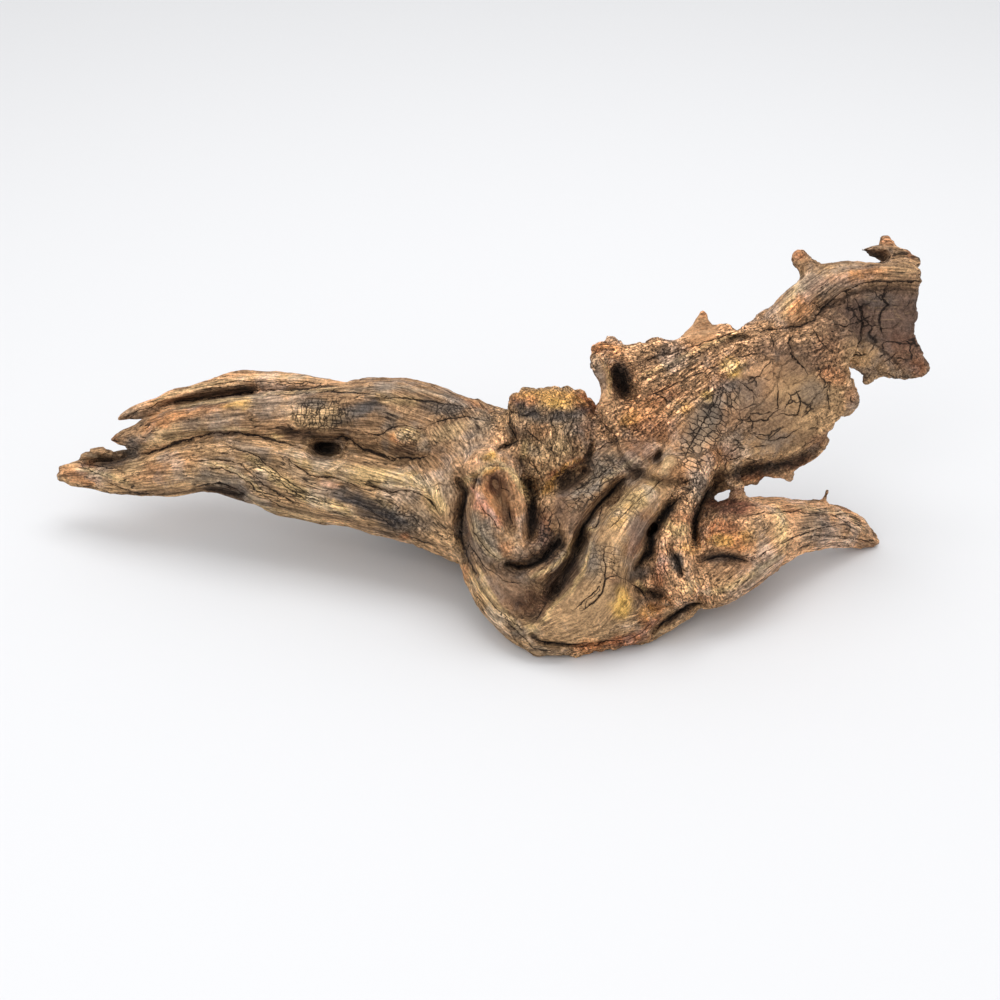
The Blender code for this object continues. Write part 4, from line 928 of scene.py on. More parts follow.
    ("brown", 692, 574, 14, 8, 0, 0.5), ("straw", 692, 588, 14, 8, -10, 0.6),
    ("dark", 696, 520, 6, 20, 0, 0.85), ("dark", 706, 496, 10, 8, 0, 0.7),
    ("dark", 676, 614, 22, 5, -35, 0.85), ("black", 690, 606, 14, 4, -25, 0.5),
    ("tan", 668, 634, 30, 6, -25, 0.4), ("grey", 700, 488, 14, 18, 0, 0.6),
    ("red", 736, 492, 14, 5, -10, 0.7), ("red", 732, 507, 34, 11, 4, 1.0),
    ("dark", 730, 503, 28, 6, 4, 0.6), ("dark", 716, 512, 18, 7, 0, 0.6),
    ("rust", 724, 530, 22, 14, 0, 0.8), ("orange", 738, 542, 22, 11, 0, 1.0),
    ("ochre", 748, 536, 12, 8, 0, 0.6), ("yellow", 720, 540, 12, 7, 0, 0.5),
    ("tan", 760, 530, 14, 22, 0, 0.6), ("straw", 780, 526, 9, 26, -8, 0.7),
    ("grey", 810, 528, 14, 20, 0, 0.55), ("slate", 826, 530, 8, 14, 0, 0.4),
    ("dark", 724, 560, 24, 9, 4, 0.85), ("slate", 714, 560, 14, 7, 0, 0.5),
    ("tan", 728, 584, 40, 10, -12, 0.6), ("orange", 704, 592, 16, 8, -20, 0.5),
    ("pale", 760, 572, 20, 6, -40, 0.5), ("rust", 790, 508, 20, 5, 5, 0.4),
    ("brown", 850, 530, 24, 10, 10, 0.6), ("dark", 868, 545, 14, 5, 10, 0.6),
    ("rust", 846, 512, 10, 5, 30, 0.5), ("grey", 842, 540, 16, 5, 0, 0.4),
    ("orange", 606, 348, 18, 7, 5, 0.85), ("rust", 596, 346, 8, 8, 0, 0.7),
    ("dark", 622, 380, 14, 22, 0, 0.9), ("black", 622, 378, 8, 14, 0, 0.6),
    ("slate", 600, 384, 6, 20, 0, 0.6), ("grey", 596, 366, 6, 14, 0, 0.5),
    ("brown", 650, 352, 26, 10, 0, 0.5), ("tan", 676, 368, 30, 10, -25, 0.5),
    ("dark", 648, 364, 14, 8, -10, 0.4), ("brown", 704, 326, 14, 12, 0, 0.6),
    ("rust", 702, 312, 5, 6, 0, 0.6), ("dark", 738, 337, 12, 5, 0, 0.8),
    ("orange", 700, 342, 24, 8, -20, 0.4), ("yellow", 732, 368, 13, 12, 0, 0.9),
    ("orange", 716, 380, 16, 8, 0, 0.5), ("yellow", 707, 395, 7, 8, 0, 0.8),
    ("ochre", 631, 418, 12, 10, 0, 0.8), ("ochre", 680, 408, 14, 8, 0, 0.6),
    ("orange", 644, 410, 26, 12, 0, 0.6), ("rust", 652, 428, 28, 16, 10, 0.55),
    ("rust", 660, 396, 24, 10, -10, 0.5), ("red", 640, 448, 22, 12, 20, 0.5),
    ("dark", 634, 466, 16, 8, 20, 0.6), ("pale", 668, 462, 8, 12, 10, 0.6),
    ("black", 658, 460, 5, 9, 10, 0.8), ("orange", 680, 470, 10, 8, 0, 0.5),
    ("grey", 704, 424, 18, 40, 22, 0.75), ("slate", 716, 410, 14, 20, 20, 0.55),
    ("slate", 730, 386, 10, 8, 0, 0.7), ("slate", 750, 388, 18, 12, 0, 0.65),
    ("grey", 742, 402, 24, 9, 0, 0.5), ("bark", 760, 420, 40, 24, -10, 0.6),
    ("slate", 812, 394, 18, 16, 0, 0.6), ("red", 828, 356, 22, 26, 10, 0.5),
    ("bark", 800, 360, 26, 20, 0, 0.5), ("rust", 836, 376, 16, 12, 0, 0.5),
    ("bark", 770, 348, 22, 14, 0, 0.6), ("red", 852, 396, 10, 14, 0, 0.6),
    ("dark", 790, 440, 30, 10, -15, 0.5), ("rust", 722, 455, 18, 12, 0, 0.5),
    ("dark", 760, 470, 46, 10, -8, 0.8), ("rust", 756, 478, 18, 5, 0, 0.6),
    ("red", 800, 462, 20, 8, -20, 0.6), ("red", 820, 440, 16, 9, -30, 0.5),
    ("bark", 850, 320, 34, 24, 0, 0.5), ("dark", 866, 306, 8, 6, 0, 0.6),
    ("bark", 890, 320, 30, 34, 0, 0.6), ("red", 900, 350, 22, 22, 0, 0.4),
    ("rust", 918, 368, 10, 12, 0, 0.5), ("dark", 872, 372, 12, 8, 0, 0.6),
    ("slate", 880, 300, 20, 10, 0, 0.4), ("orange", 800, 306, 16, 14, -40, 0.6),
    ("pale", 792, 296, 6, 24, 35, 0.6), ("tan", 830, 272, 30, 8, -8, 0.6),
    ("orange", 856, 276, 34, 8, -5, 0.5), ("tan", 900, 268, 18, 9, 0, 0.5),
    ("rust", 798, 254, 10, 8, 0, 0.6), ("dark", 874, 256, 14, 6, 0, 0.8),
    ("rust", 888, 240, 10, 8, 0, 0.5), ("dark", 856, 247, 10, 4, -10, 0.6),
    ("rust", 912, 254, 10, 6, 0, 0.5), ("dark", 826, 494, 4, 8, 0, 0.7),
]
# Colour, half width, strength, then the line. The black and dark lines in crevices, folds and along
# undersides are painted shade; the straw, pale, ochre and orange lines along rims and crests are
# partly the wood's pale fibres and partly painted highlight.
TINTED_LINES = [
    ("black", 3.0, 0.8, [(172, 404), (190, 399), (210, 395), (232, 391), (256, 389)]),
    ("dark", 3.5, 0.7, [(150, 412), (172, 400), (200, 394), (230, 389), (275, 387), (310, 387)]),
    ("dark", 4.0, 0.6, [(90, 463), (106, 462), (122, 466)]),
    ("straw", 2.2, 0.8, [(74, 468), (92, 471), (110, 476), (130, 484)]),
    ("straw", 2.5, 0.8, [(244, 456), (262, 466), (286, 482), (312, 498), (348, 511)]),
    ("straw", 2.2, 0.7, [(204, 464), (226, 466), (246, 478), (264, 494)]),
    ("straw", 2.2, 0.7, [(290, 460), (316, 472), (350, 481), (372, 486)]),
    ("straw", 3.0, 0.7, [(352, 468), (384, 472), (414, 478), (434, 492), (444, 508)]),
    ("pale", 2.5, 0.6, [(140, 448), (166, 442), (190, 433), (220, 429), (252, 431)]),
    ("pale", 2.5, 0.6, [(176, 408), (204, 402), (240, 398), (290, 392), (340, 388)]),
    ("pale", 2.0, 0.6, [(150, 404), (176, 392), (210, 384), (260, 376), (310, 377)]),
    ("grey", 3.0, 0.5, [(344, 391), (390, 386), (430, 392), (470, 404)]),
    ("char", 2.5, 0.7, [(330, 496), (356, 503), (384, 514), (414, 526)]),
    ("char", 2.0, 0.6, [(352, 512), (380, 520), (404, 530)]),
    ("dark", 3.0, 0.6, [(120, 494), (180, 491), (230, 496), (290, 510), (350, 520), (400, 538)]),
    ("straw", 3.0, 0.9, [(468, 478), (476, 474), (484, 468), (496, 462), (509, 470), (522, 486),
     (529, 502)]),
    ("dark", 3.5, 0.6, [(488, 478), (498, 474), (506, 484), (513, 500)]),
    ("dark", 3.0, 0.7, [(533, 496), (536, 520), (530, 540)]),
    ("grey", 3.5, 0.7, [(472, 516), (480, 536), (492, 552), (506, 562)]),
    ("char", 4.0, 0.5, [(516, 410), (530, 414), (544, 420), (560, 414), (582, 416)]),
    ("red", 4.0, 0.7, [(704, 500), (726, 503), (750, 506)]),
    ("dark", 5.0, 0.6, [(706, 488), (740, 476), (776, 468), (812, 452)]),
    ("pink", 2.5, 0.6, [(468, 484), (479, 498), (490, 512), (501, 526)]),
    ("ochre", 3.0, 0.5, [(516, 396), (534, 393), (552, 392), (572, 396), (588, 405)]),
    ("black", 2.0, 0.8, [(618, 484), (606, 497), (596, 508), (588, 520), (581, 531), (577, 546)]),
    ("black", 2.2, 0.8, [(507, 564), (518, 568), (533, 565), (544, 559), (553, 550), (559, 540)]),
    ("black", 3.5, 0.8, [(677, 500), (669, 509), (658, 524), (652, 537), (651, 552), (636, 568)]),
    ("black", 3.0, 0.7, [(580, 548), (576, 560), (568, 574), (560, 588), (555, 598)]),
    ("dark", 6.0, 0.5, [(574, 560), (562, 578), (550, 590), (540, 604)]),
    ("black", 2.0, 0.7, [(532, 636), (542, 642), (560, 645), (584, 644)]),
    ("black", 2.0, 0.7, [(654, 632), (665, 622), (678, 612), (692, 604), (703, 604)]),
    ("black", 2.0, 0.7, [(519, 440), (511, 445), (502, 447), (496, 452)]),
    ("black", 3.0, 0.7, [(532, 502), (532, 516), (529, 536)]),
    ("black", 2.0, 0.6, [(458, 480), (467, 494), (461, 512), (460, 530), (465, 556)]),
    ("black", 2.5, 0.7, [(702, 506), (696, 520), (695, 538)]),
    ("dark", 3.0, 0.6, [(701, 560), (716, 556), (734, 557), (750, 562)]),
    ("dark", 3.0, 0.5, [(612, 432), (620, 452), (634, 470), (652, 480), (680, 480)]),
    ("straw", 6.0, 0.45, [(250, 460), (276, 478), (306, 496), (346, 512)]),
    ("straw", 7.0, 0.45, [(350, 474), (384, 478), (414, 484), (434, 498)]),
    ("pale", 4.0, 0.5, [(470, 520), (478, 538), (490, 552), (504, 562)]),
    ("ochre", 2.0, 0.7, [(547, 488), (555, 476), (565, 466), (582, 459)]),
    ("straw", 2.0, 0.6, [(571, 541), (568, 555), (557, 563), (546, 571), (530, 578)]),
    ("straw", 2.0, 0.7, [(592, 542), (587, 558), (583, 572), (572, 590), (554, 604), (542, 624)]),
    ("straw", 2.0, 0.5, [(600, 482), (618, 470), (640, 456)]),
    ("straw", 2.5, 0.6, [(478, 566), (488, 590), (502, 610), (520, 630)]),
    ("rust", 3.5, 0.6, [(574, 648), (606, 644), (636, 636), (660, 620)]),
    ("straw", 3.0, 0.6, [(700, 594), (730, 588), (758, 570), (784, 552)]),
    ("straw", 2.5, 0.6, [(776, 506), (784, 524), (782, 546)]),
    ("pale", 2.5, 0.5, [(790, 505), (820, 510), (846, 514), (864, 530)]),
    ("orange", 2.5, 0.8, [(592, 346), (608, 345), (622, 350)]),
    ("straw", 2.5, 0.6, [(604, 360), (610, 380), (608, 398)]),
    ("straw", 2.0, 0.5, [(640, 376), (670, 364), (704, 346), (740, 332)]),
    ("pale", 2.5, 0.6, [(668, 450), (666, 464), (662, 474)]),
    ("orange", 3.0, 0.4, [(782, 314), (800, 300), (826, 280), (852, 273), (890, 270)]),
    ("straw", 2.0, 0.5, [(782, 318), (792, 298), (801, 272)]),
    ("dark", 2.5, 0.6, [(790, 330), (812, 322), (828, 306), (850, 294), (880, 288), (916, 288)]),
]
DAB_STRENGTH = 0.95
# Paint that is dabbed on from the front is only so strong on the back.
UNSEEN_STRENGTH = 0.15
# The paint is mixed this much lighter than it should look, because gaps, dirt and painted shade darken it
# later.
LIGHTER = 1.36
# Strokes that sink deeper than this many drawn units also get painted shade: darker paint along the middle.
PAINTED_SHADE_FROM = 4
# A flow's colour fades with distance by this power, and light and dark clouds lie over it.
TINT_POWER = 5
CLOUD_SIZE = 0.022
CLOUD_DEPTH = 0.20
# Dabs and tinted lines are spread a little past their drawn size, since their rims are soft.
DAB_SPREAD = 1.25
LINE_SPREAD = 1.4
LINE_TAPER = 20


def linear(name):
    """The named colour as light, which is what shaders add and mix."""
    share = np.array(COLOURS[name]) / 255.0
    return np.where(share <= 0.04045, share / 12.92, ((share + 0.055) / 1.055) ** 2.4)


places = rows("co")
grain, style = straightened(places)
flows = np.zeros((len(places), 3))
shares = np.zeros(len(places))
for name, flow in FLOWS.items():
    line = real(flow[0])
    gap = np.full(len(places), 1e6)
    for start, end in zip(line, line[1:]):
        step = end - start
        part = np.clip((places - start) @ step / (step @ step), 0, 1)
        gap = np.minimum(gap, np.linalg.norm(places - start - part[:, None] * step, axis=1))
    share = 1.0 / (gap + FLOW_SOFTNESS) ** TINT_POWER
    flows += share[:, None] * linear(FLOW_COLOURS[name])
    shares += share
tint = flows / shares[:, None]
clouds = soft_noise(places / CLOUD_SIZE, 61, 3)
tint *= (LIGHTER * (1 + CLOUD_DEPTH * clouds))[:, None]
flat = wobbled(drawn(places)[:, :2], 9.0, 3.2, 17)
seen = np.clip(0.6 + 2 * (rows("normal") @ TO_VIEWER), UNSEEN_STRENGTH, 1)
for colour, x, y, wide, high, turn, strength in DABS:
    oval = dab(flat, x, y, DAB_SPREAD * wide, DAB_SPREAD * high, turn)
    share = (DAB_STRENGTH * strength * seen * oval)[:, None]
    tint = tint * (1 - share) + LIGHTER * linear(colour) * share
flat = wobbled(drawn(places)[:, :2], 7.0, 1.3, 13)
for colour, half_width, strength, line in TINTED_LINES:
    near = near_box(flat, line, 2 * half_width)
    gap, from_end = line_gap(flat[near], line)
    band = eased(LINE_SPREAD - np.abs(gap) / half_width) * eased(0.4 + from_end / LINE_TAPER)
    share = (strength * seen[near] * band)[:, None]
    tint[near] = tint[near] * (1 - share) + LIGHTER * linear(colour) * share
# Deep wide strokes get painted shade: their paint is darkened along the middle, where shade would fall in
# the groove.
for half_width, depth, line in WIDE_STROKES.values():
    if depth > PAINTED_SHADE_FROM:
        near = near_box(flat, line, 2 * half_width)
        gap = line_gap(flat[near], line)[0]
        share = min(0.15 + depth / 25, 0.6) * eased(1.1 - np.abs(gap) / (0.8 * half_width))
        tint[near] *= (1 - share)[:, None]
store("tint", np.column_stack((tint, np.ones(len(tint)))))
store("grain", grain)
print(len(DABS), "dabs of", len(COLOURS), "colours")

# %% [markdown]
# ## Marks for the splits and the bark
#
# The thinned net is about 1 mm wide, wider than a fine split. A mark that says how far a point is
# from a split, with a plus on one side and a minus on the other, passes through nought exactly on the
# split, so the material can draw a line that is far finer than the net.

# %% Mark splits and bark
CHECKED = [
    (322, 414, 50, 26, 0, 1.0), (702, 440, 32, 66, 25, 1.0), (720, 400, 34, 30, 0, 0.9),
    (604, 560, 30, 34, 0, 0.6), (590, 490, 56, 18, -38, 0.9), (545, 528, 16, 42, 0, 0.9),
    (548, 552, 34, 16, 0, 0.8), (628, 508, 44, 22, -45, 0.6), (690, 490, 18, 34, 0, 1.0),
    (446, 410, 34, 20, 0, 0.7), (408, 438, 26, 16, 0, 0.7), (604, 466, 34, 20, 0, 0.8),
    (545, 430, 40, 40, 0, 0.4), (400, 518, 60, 22, 25, 0.6), (488, 540, 18, 36, -25, 0.5),
    (400, 412, 60, 20, 0, 0.4), (640, 430, 40, 30, 0, 0.35),
]
# A mark counts a split's half widths, up to this many.
FAR_FROM_SPLIT = 9.0
flat = wobbled(drawn(places)[:, :2], 7.0, 1.3, 13)
split = np.full(len(flat), FAR_FROM_SPLIT)
for half_width, depth, line in SPLITS.values():
    near = near_box(flat, line, SPLIT_REACH)
    gap, from_end = line_gap(flat[near], line)
    gap /= half_width * (0.3 + 0.7 * eased(from_end / SPLIT_TAPER))
    split[near] = np.where(np.abs(gap) < np.abs(split[near]), gap, split[near])
split_near = np.clip(1.6 - np.abs(split) / 3, 0, 1) * fronting()
checks = np.zeros(len(flat))
for x, y, wide, high, turn, strength in CHECKED:
    checks = np.maximum(checks, strength * dab(flat, x, y, wide, high, turn))
split = np.clip(split, -FAR_FROM_SPLIT, FAR_FROM_SPLIT)
store("split", np.column_stack((split, split_near, checks)))
store("style", style)
print("Split and bark marks stored")

# %% [markdown]
# ## Shader tools
#
# The wood's material is built from small node groups, each for one effect. A group takes a place or
# a mask and gives a colour or a mask back. Long fibres are noise that is read in the straightened
# places, and cross cracks are Voronoi cells read there, so that they lie square to the grain.

# %% Shader tools
def place_node(tree, kind, inputs=None, **settings):
    """Adds a node, sets it up and feeds its inputs with numbers or with other nodes' outputs."""
    node = tree.nodes.new(kind)
    for name, value in settings.items():
        setattr(node, name, value)
    for name, value in (inputs or {}).items():
        if isinstance(value, bpy.types.NodeSocket):
            tree.links.new(value, node.inputs[name])
        else:
            node.inputs[name].default_value = value
    return node


def ranged(tree, value, low, high, to_low=0.0, to_high=1.0):
    """The value's range from low to high, turned softly into another range."""
    node = place_node(tree, "ShaderNodeMapRange", {0: value, 1: low, 2: high, 3: to_low, 4: to_high},
                      interpolation_type="SMOOTHSTEP")
    return node.outputs[0]


def sum_up(tree, operation, one, other):
    """One number from two, by the named operation."""
    return place_node(tree, "ShaderNodeMath", {0: one, 1: other}, operation=operation).outputs[0]


def times(tree, one, other):
    """One number times another."""
    return sum_up(tree, "MULTIPLY", one, other)


def darkest(tree, one, other):
    """The larger of two shares of darkness."""
    return sum_up(tree, "MAXIMUM", one, other)


def faded(tree, share, value):
    """The value where the share is 1, and 1 where the share is 0."""
    return place_node(tree, "ShaderNodeMix", {0: share, 2: 1.0, 3: value}).outputs[0]


def mixed(tree, share, one, other):
    """Two colours mixed by a share."""
    return place_node(tree, "ShaderNodeMix", {0: share, 6: one, 7: other}, data_type="RGBA").outputs[2]


def lumpy(tree, place, scale, detail, roughness):
    """Noise from 0 to 1 with so many lumps to a metre."""
    inputs = {"Vector": place, "Scale": scale, "Detail": detail, "Roughness": roughness}
    return place_node(tree, "ShaderNodeTexNoise", inputs).outputs[0]


def new_group(name, inputs, outputs):
    """An empty shader group with the named sockets, and its input and output nodes."""
    group = bpy.data.node_groups.new(name, "ShaderNodeTree")
    for socket, kind in inputs.items():
        group.interface.new_socket(socket, in_out="INPUT", socket_type=kind)
    for socket, kind in outputs.items():
        group.interface.new_socket(socket, in_out="OUTPUT", socket_type=kind)
    return group, group.nodes.new("NodeGroupInput"), group.nodes.new("NodeGroupOutput")


def use_group(tree, group, inputs):
    """Places a group in a material or in another group."""
    return place_node(tree, "ShaderNodeGroup", inputs, node_tree=group)


def stretched_place(tree, taken):
    """A group's place, divided by its length along the grain and by its width across it."""
    length_share = sum_up(tree, "DIVIDE", 1.0, taken.outputs["Length"])
    width_share = sum_up(tree, "DIVIDE", 1.0, taken.outputs["Width"])
    scale = place_node(tree, "ShaderNodeCombineXYZ", {"X": length_share, "Y": width_share, "Z": width_share})
    node = place_node(tree, "ShaderNodeVectorMath", {0: taken.outputs["Place"], 1: scale.outputs[0]},
                      operation="MULTIPLY")
    return node.outputs[0]


print("The tools for shader nodes are ready")

# %% Long fibres
FLOAT, VECTOR = "NodeSocketFloat", "NodeSocketVector"
sized_place = {"Place": VECTOR, "Length": FLOAT, "Width": FLOAT}
fibres, taken, given = new_group("long_fibres", {**sized_place, "Detail": FLOAT}, {"Fibre": FLOAT})
fibre_inputs = {"Vector": stretched_place(fibres, taken), "Scale": 1.0,
                "Detail": taken.outputs["Detail"], "Roughness": 0.62}
fibre_noise = place_node(fibres, "ShaderNodeTexNoise", fibre_inputs)
fibres.links.new(fibre_noise.outputs[0], given.inputs["Fibre"])
print("Made the group", fibres.name)

# %% Cross cracks
BEND = (0.5, 0.5, 0.5)
cracks, taken, given = new_group("cross_cracks", {**sized_place, "Gap": FLOAT, "Scatter": FLOAT},
                                 {"Crack": FLOAT, "Block": FLOAT})
stretched = stretched_place(cracks, taken)
ripple = place_node(cracks, "ShaderNodeTexNoise", {"Vector": stretched, "Scale": 1.6, "Detail": 2.0})
bent = place_node(cracks, "ShaderNodeVectorMath", {0: ripple.outputs[1], 1: BEND, 2: stretched},
                  operation="MULTIPLY_ADD")
cell_inputs = {"Vector": bent.outputs[0], "Scale": 1.0, "Randomness": taken.outputs["Scatter"]}
cell_edge = place_node(cracks, "ShaderNodeTexVoronoi", cell_inputs, feature="DISTANCE_TO_EDGE")
cell_tone = place_node(cracks, "ShaderNodeTexVoronoi", cell_inputs)
opening = place_node(cracks, "ShaderNodeMapRange", {0: cell_edge.outputs["Distance"], 1: 0.0,
                                                    2: taken.outputs["Gap"], 3: 1.0, 4: 0.0},
                     interpolation_type="SMOOTHSTEP")
tone = place_node(cracks, "ShaderNodeSeparateColor", {0: cell_tone.outputs["Color"]})
cracks.links.new(opening.outputs[0], given.inputs["Crack"])
cracks.links.new(tone.outputs[0], given.inputs["Block"])
print("Made the group", cracks.name)

# %% Grain splits
openings, taken, given = new_group("grain_splits", {**sized_place, "Open": FLOAT}, {"Split": FLOAT})
own_place = {name: taken.outputs[name] for name in sized_place}
along_grain = use_group(openings, fibres, {**own_place, "Detail": 2.5}).outputs[0]
off_middle = sum_up(openings, "ABSOLUTE", sum_up(openings, "SUBTRACT", along_grain, 0.5), 0.0)
where_open = lumpy(openings, taken.outputs["Place"], 75.0, 3.0, 0.5)
half_open = times(openings, ranged(openings, where_open, 0.42, 0.68), taken.outputs["Open"])
closeness = sum_up(openings, "DIVIDE", off_middle, sum_up(openings, "ADD", half_open, 0.0005))
openings.links.new(ranged(openings, closeness, 0.3, 1.0, 1.0, 0.0), given.inputs["Split"])
print("Shader groups:", [group.name for group in bpy.data.node_groups])

# %% [markdown]
# ## The weathered wood
#
# Real weathered wood is many thin layers: sound straw wood below, a grey crust above, dirt in every
# gap. The material starts from the dabbed colour, makes its fibres lighter and darker, darkens the
# cross cracks and the splits, darkens the hollows with dirt and painted shade, and bleaches what
# stands proud. The same noises drive the bump, so that the light agrees with the colour.

# %% Read the marks
wood = bpy.data.materials.new("weathered_wood_finish")
wood.use_nodes = True
tree = wood.node_tree
surface = tree.nodes["Principled BSDF"]


def mark(name, output):
    """The numbers that the log's points keep under a name."""
    return place_node(tree, "ShaderNodeAttribute", attribute_name=name).outputs[output]


tint_mark = mark("tint", "Color")
grain_mark = mark("grain", "Vector")
small_hollow = mark("small_hollow", "Fac")
wide_hollow = mark("wide_hollow", "Fac")
split_parts = place_node(tree, "ShaderNodeSeparateXYZ", {0: mark("split", "Vector")}).outputs
style_parts = place_node(tree, "ShaderNodeSeparateXYZ", {0: mark("style", "Vector")}).outputs
place = place_node(tree, "ShaderNodeTexCoord").outputs["Object"]
print("The material reads", len(log.data.attributes), "attributes of the log")

# %% Fibres, crumbs and flakes
# Lengths, widths and openings are in metres; a gap is a share of its block.
STREAKS = {"Place": grain_mark, "Length": 0.070, "Width": 0.0038, "Detail": 7.0}
THREADS = {"Place": grain_mark, "Length": 0.016, "Width": 0.0010, "Detail": 3.0}
FLAKES = {"Place": grain_mark, "Length": 0.0046, "Width": 0.0024, "Gap": 0.10, "Scatter": 1.0}
CHECKS = {"Place": grain_mark, "Length": 0.0024, "Width": 0.0048, "Gap": 0.11, "Scatter": 0.8}
BARK_BLOCKS = {"Place": grain_mark, "Length": 0.0120, "Width": 0.0100, "Gap": 0.050, "Scatter": 1.0}
OPEN_GRAIN = {"Place": grain_mark, "Length": 0.070, "Width": 0.0042, "Open": 0.026}
streak = use_group(tree, fibres, STREAKS).outputs[0]
thread = use_group(tree, fibres, THREADS).outputs[0]
flakes = use_group(tree, cracks, FLAKES)
checks = use_group(tree, cracks, CHECKS)
bark_cracks = use_group(tree, cracks, BARK_BLOCKS)
open_grain = use_group(tree, openings, OPEN_GRAIN).outputs[0]
crumb = lumpy(tree, place, 420.0, 5.0, 0.75)
grit = lumpy(tree, place, 850.0, 1.0, 0.7)
cloud = lumpy(tree, place, 48.0, 5.0, 0.6)
branch = lumpy(tree, place, 85.0, 3.0, 0.5)
print("The patterns take", len(tree.nodes), "nodes")

# %% Light and dark in the grain
# Each pattern makes the paint darker and lighter between two factors, where the wood is worn its way.
streaky = ranged(tree, style_parts["X"], 0.2, 0.9, 0.15, 1.0)
crumbly = ranged(tree, style_parts["Y"], 0.35, 1.3, 0.0, 1.0)
dark_grit = ranged(tree, grit, 0.36, 0.47, 0.24, 1.0)
pale_grit = ranged(tree, grit, 0.56, 0.68, 1.0, 1.6)
lights = [
    faded(tree, streaky, ranged(tree, streak, 0.34, 0.66, 0.62, 1.36)),
    faded(tree, streaky, ranged(tree, thread, 0.36, 0.64, 0.50, 1.54)),
    faded(tree, ranged(tree, crumbly, 0.0, 1.0, 0.40, 1.0), ranged(tree, crumb, 0.36, 0.64, 0.45, 1.75)),
    faded(tree, ranged(tree, crumbly, 0.0, 1.0, 0.35, 1.0), times(tree, dark_grit, pale_grit)),
    faded(tree, crumbly, ranged(tree, flakes.outputs["Block"], 0.1, 0.9, 0.74, 1.38)),
    faded(tree, split_parts["Z"], ranged(tree, checks.outputs["Block"], 0.0, 1.0, 0.78, 1.20)),
]
light = lights[0]
for other_light in lights[1:]:
    light = times(tree, light, other_light)
lit = place_node(tree, "ShaderNodeVectorMath", {0: tint_mark, "Scale": light}, operation="SCALE").outputs[0]
print(len(lights), "patterns lighten and darken the paint")

# %% Weather, wear, dirt and painted shade
# The hollows' colour: real dirt, and painted shade that stands in for the shade in splits and folds.
HOLLOW_DIRT_AND_SHADE_COLOUR = (0.072, 0.044, 0.033, 1.0)
WORN_COLOUR = (0.52, 0.39, 0.255, 1.0)
SOUND_COLOUR = (0.60, 0.39, 0.20, 1.0)
GREYING = {"Saturation": 0.60, "Value": 0.88, "Color": lit}
MOST_GREY = 0.60
MOST_WORN = 0.32

grey_share = times(tree, ranged(tree, cloud, 0.50, 0.66), MOST_GREY)
greyed = place_node(tree, "ShaderNodeHueSaturation", GREYING).outputs[0]
colour = mixed(tree, grey_share, lit, greyed)
sound_patch = ranged(tree, cloud, 0.54, 0.40, 0.0, 0.30)
sound_share = times(tree, ranged(tree, thread, 0.52, 0.66), sound_patch)
colour = mixed(tree, sound_share, colour, SOUND_COLOUR)
worn_share = times(tree, ranged(tree, small_hollow, 0.10, 0.40), MOST_WORN)
colour = mixed(tree, worn_share, colour, WORN_COLOUR)
# Small and wide hollows are darkened, partly as dirt and partly as painted shade.
small_dirt_and_shade = ranged(tree, small_hollow, -0.42, -0.08, 0.78, 0.0)
wide_dirt_and_shade = ranged(tree, wide_hollow, -3.6, -1.3, 0.80, 0.0)
dirt_and_shade = times(tree, darkest(tree, small_dirt_and_shade, wide_dirt_and_shade), ranged(tree, crumb, 0.34, 0.62, 1.0, 0.60))
colour = mixed(tree, dirt_and_shade, colour, HOLLOW_DIRT_AND_SHADE_COLOUR)
print("Weather, wear and dirt lie over the paint")

# %% Splits
GAP_COLOUR = (0.014, 0.008, 0.006, 1.0)
SPLIT_WANDER = 3.2
MOST_SPLIT = 0.93
MOST_CRACK = 0.95
MOST_FLAKE = 0.90

uneven = ranged(tree, cloud, 0.35, 0.65, 0.65, 1.9)
wandering = times(tree, sum_up(tree, "SUBTRACT", crumb, 0.5), SPLIT_WANDER)
off_split = sum_up(tree, "ABSOLUTE", sum_up(tree, "ADD", split_parts["X"], wandering), 0.0)
split_share = ranged(tree, times(tree, off_split, uneven), 0.20, 0.60, 1.0, 0.0)
split_share = times(tree, split_share, ranged(tree, split_parts["Y"], 0.2, 0.6))
check_share = times(tree, checks.outputs["Crack"], ranged(tree, split_parts["Z"], 0.05, 0.95))
bark_share = times(tree, bark_cracks.outputs["Crack"], ranged(tree, style_parts["Z"], 0.15, 0.55))
bark_share = times(tree, bark_share, ranged(tree, branch, 0.46, 0.56))
flake_share = times(tree, flakes.outputs["Crack"], ranged(tree, crumb, 0.42, 0.58))
flake_share = times(tree, flake_share, times(tree, crumbly, MOST_FLAKE))
open_grain = times(tree, open_grain, ranged(tree, style_parts["X"], 0.3, 0.9, 0.0, 0.85))
gap_share = darkest(tree, times(tree, split_share, MOST_SPLIT), open_grain)
gap_share = darkest(tree, gap_share, times(tree, check_share, MOST_CRACK))
gap_share = darkest(tree, gap_share, times(tree, bark_share, MOST_CRACK))
gap_share = darkest(tree, gap_share, flake_share)
colour = mixed(tree, gap_share, colour, GAP_COLOUR)
tree.links.new(colour, surface.inputs["Base Color"])
print("Splits, checks, bark cracks and flakes are drawn in")

# %% The finished surface
SPECULAR = 0.25
BUMP_DISTANCE = 0.0020
BUMP_STRENGTH = 0.9
# How much each pattern lifts the surface, and how much a gap sinks it.
LIFTS = [(streak, 1.2), (thread, 0.55), (crumb, 1.3), (grit, 0.6)]
GAP_SINKS = 0.7

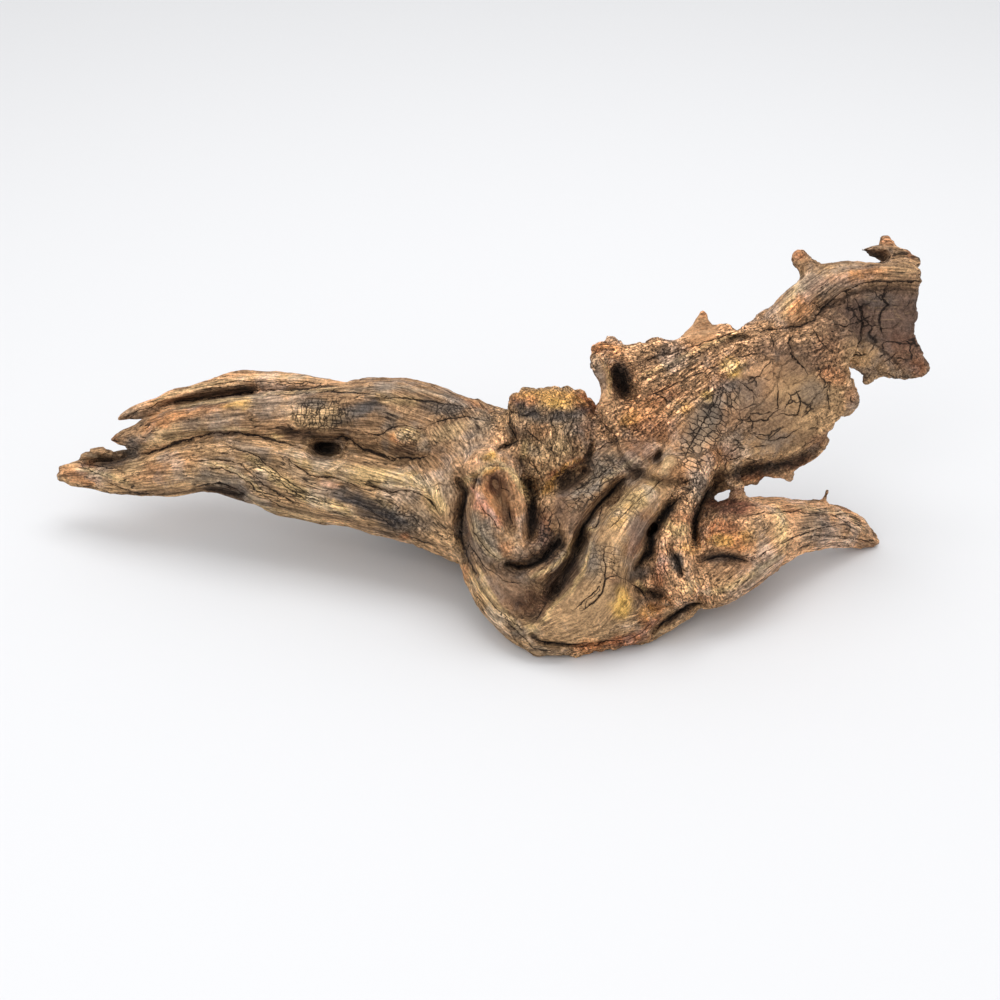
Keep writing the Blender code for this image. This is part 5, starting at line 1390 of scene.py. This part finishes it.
tree.links.new(ranged(tree, crumb, 0.3, 0.7, 0.95, 0.68), surface.inputs["Roughness"])
surface.inputs["Specular IOR Level"].default_value = SPECULAR
height = times(tree, *LIFTS[0])
for pattern, amount in LIFTS[1:]:
    height = sum_up(tree, "ADD", height, times(tree, pattern, amount))
height = sum_up(tree, "SUBTRACT", height, times(tree, gap_share, GAP_SINKS))
bump_inputs = {"Strength": BUMP_STRENGTH, "Distance": BUMP_DISTANCE, "Height": height}
bump = place_node(tree, "ShaderNodeBump", bump_inputs)
tree.links.new(bump.outputs[0], surface.inputs["Normal"])
log.data.materials.clear()
log.data.materials.append(wood)
bpy.ops.object.shade_smooth()
print("The wood's material has", len(tree.nodes), "nodes")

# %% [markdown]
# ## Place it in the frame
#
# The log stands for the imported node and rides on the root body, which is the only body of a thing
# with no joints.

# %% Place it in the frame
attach(log, "root")
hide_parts("driftwood_log")
print("The log rides on the root body")

# %% [markdown]
# ## Floor, light and camera
#
# The log lies on a plain pale floor under a large soft light, so that its shadow is faint and wide.
# The camera looks down on it by the drawing's angle, from the drawing's distance.

# %% Floor, light and camera
FLOOR_SIDE = 12.0
FLOOR_COLOUR = (0.695, 0.70, 0.715, 1.0)
FLOOR_ROUGHNESS = 0.9
ROOM_COLOUR = (1.0, 1.0, 1.0, 1.0)
ROOM_STRENGTH = 0.92
bpy.ops.mesh.primitive_plane_add(size=FLOOR_SIDE)
floor = bpy.context.object
floor.name = "floor"
pale = bpy.data.materials.new("pale_floor")
pale.use_nodes = True
pale_surface = pale.node_tree.nodes["Principled BSDF"]
pale_surface.inputs["Base Color"].default_value = FLOOR_COLOUR
pale_surface.inputs["Roughness"].default_value = FLOOR_ROUGHNESS
floor.data.materials.append(pale)
floor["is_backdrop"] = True

world = bpy.data.worlds.new("soft_room")
world.use_nodes = True
background = world.node_tree.nodes["Background"]
background.inputs["Color"].default_value = ROOM_COLOUR
background.inputs["Strength"].default_value = ROOM_STRENGTH
bpy.context.scene.world = world


def soft_light(name, place, target, side, power):
    """A square soft light at a place, turned to a target."""
    bpy.ops.object.light_add(type="AREA", location=place)
    lamp = bpy.context.object
    lamp.name = name
    lamp.data.shape = "SQUARE"
    lamp.data.size = side
    lamp.data.energy = power
    lamp.rotation_euler = (Vector(target) - Vector(place)).to_track_quat("-Z", "Y").to_euler()


soft_light("top_light", place=(0.12, 0.18, 1.25), target=(0.0, 0.0, 0.0), side=0.9, power=7.2)
soft_light("front_light", place=(-0.5, -1.15, 1.15), target=(0.0, 0.0, 0.05), side=0.8, power=5.0)

# The film's width in mm, and the picture's side in drawn units.
SENSOR = 36.0
PICTURE_SIDE = 1000.0
target = CENTRED + np.array((0.0, 0.0, FLOOR_DROP * UNIT))
bpy.ops.object.camera_add(location=target + TO_VIEWER * VIEW_DISTANCE * UNIT,
                          rotation=(math.pi / 2 - LOOK_DOWN, 0.0, 0.0))
camera = bpy.context.object
camera.data.sensor_width = SENSOR
camera.data.lens = SENSOR * VIEW_DISTANCE / PICTURE_SIDE
bpy.context.scene.camera = camera
bpy.context.scene.view_settings.view_transform = "Standard"
print("Camera at", [round(value, 3) for value in camera.location])

# %% Measure how much the log grew
now_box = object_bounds()
growth = (now_box[1] - now_box[0]) - (cad_box[1] - cad_box[0])
print("Grew by", [round(1000 * side, 1) for side in growth], "mm")
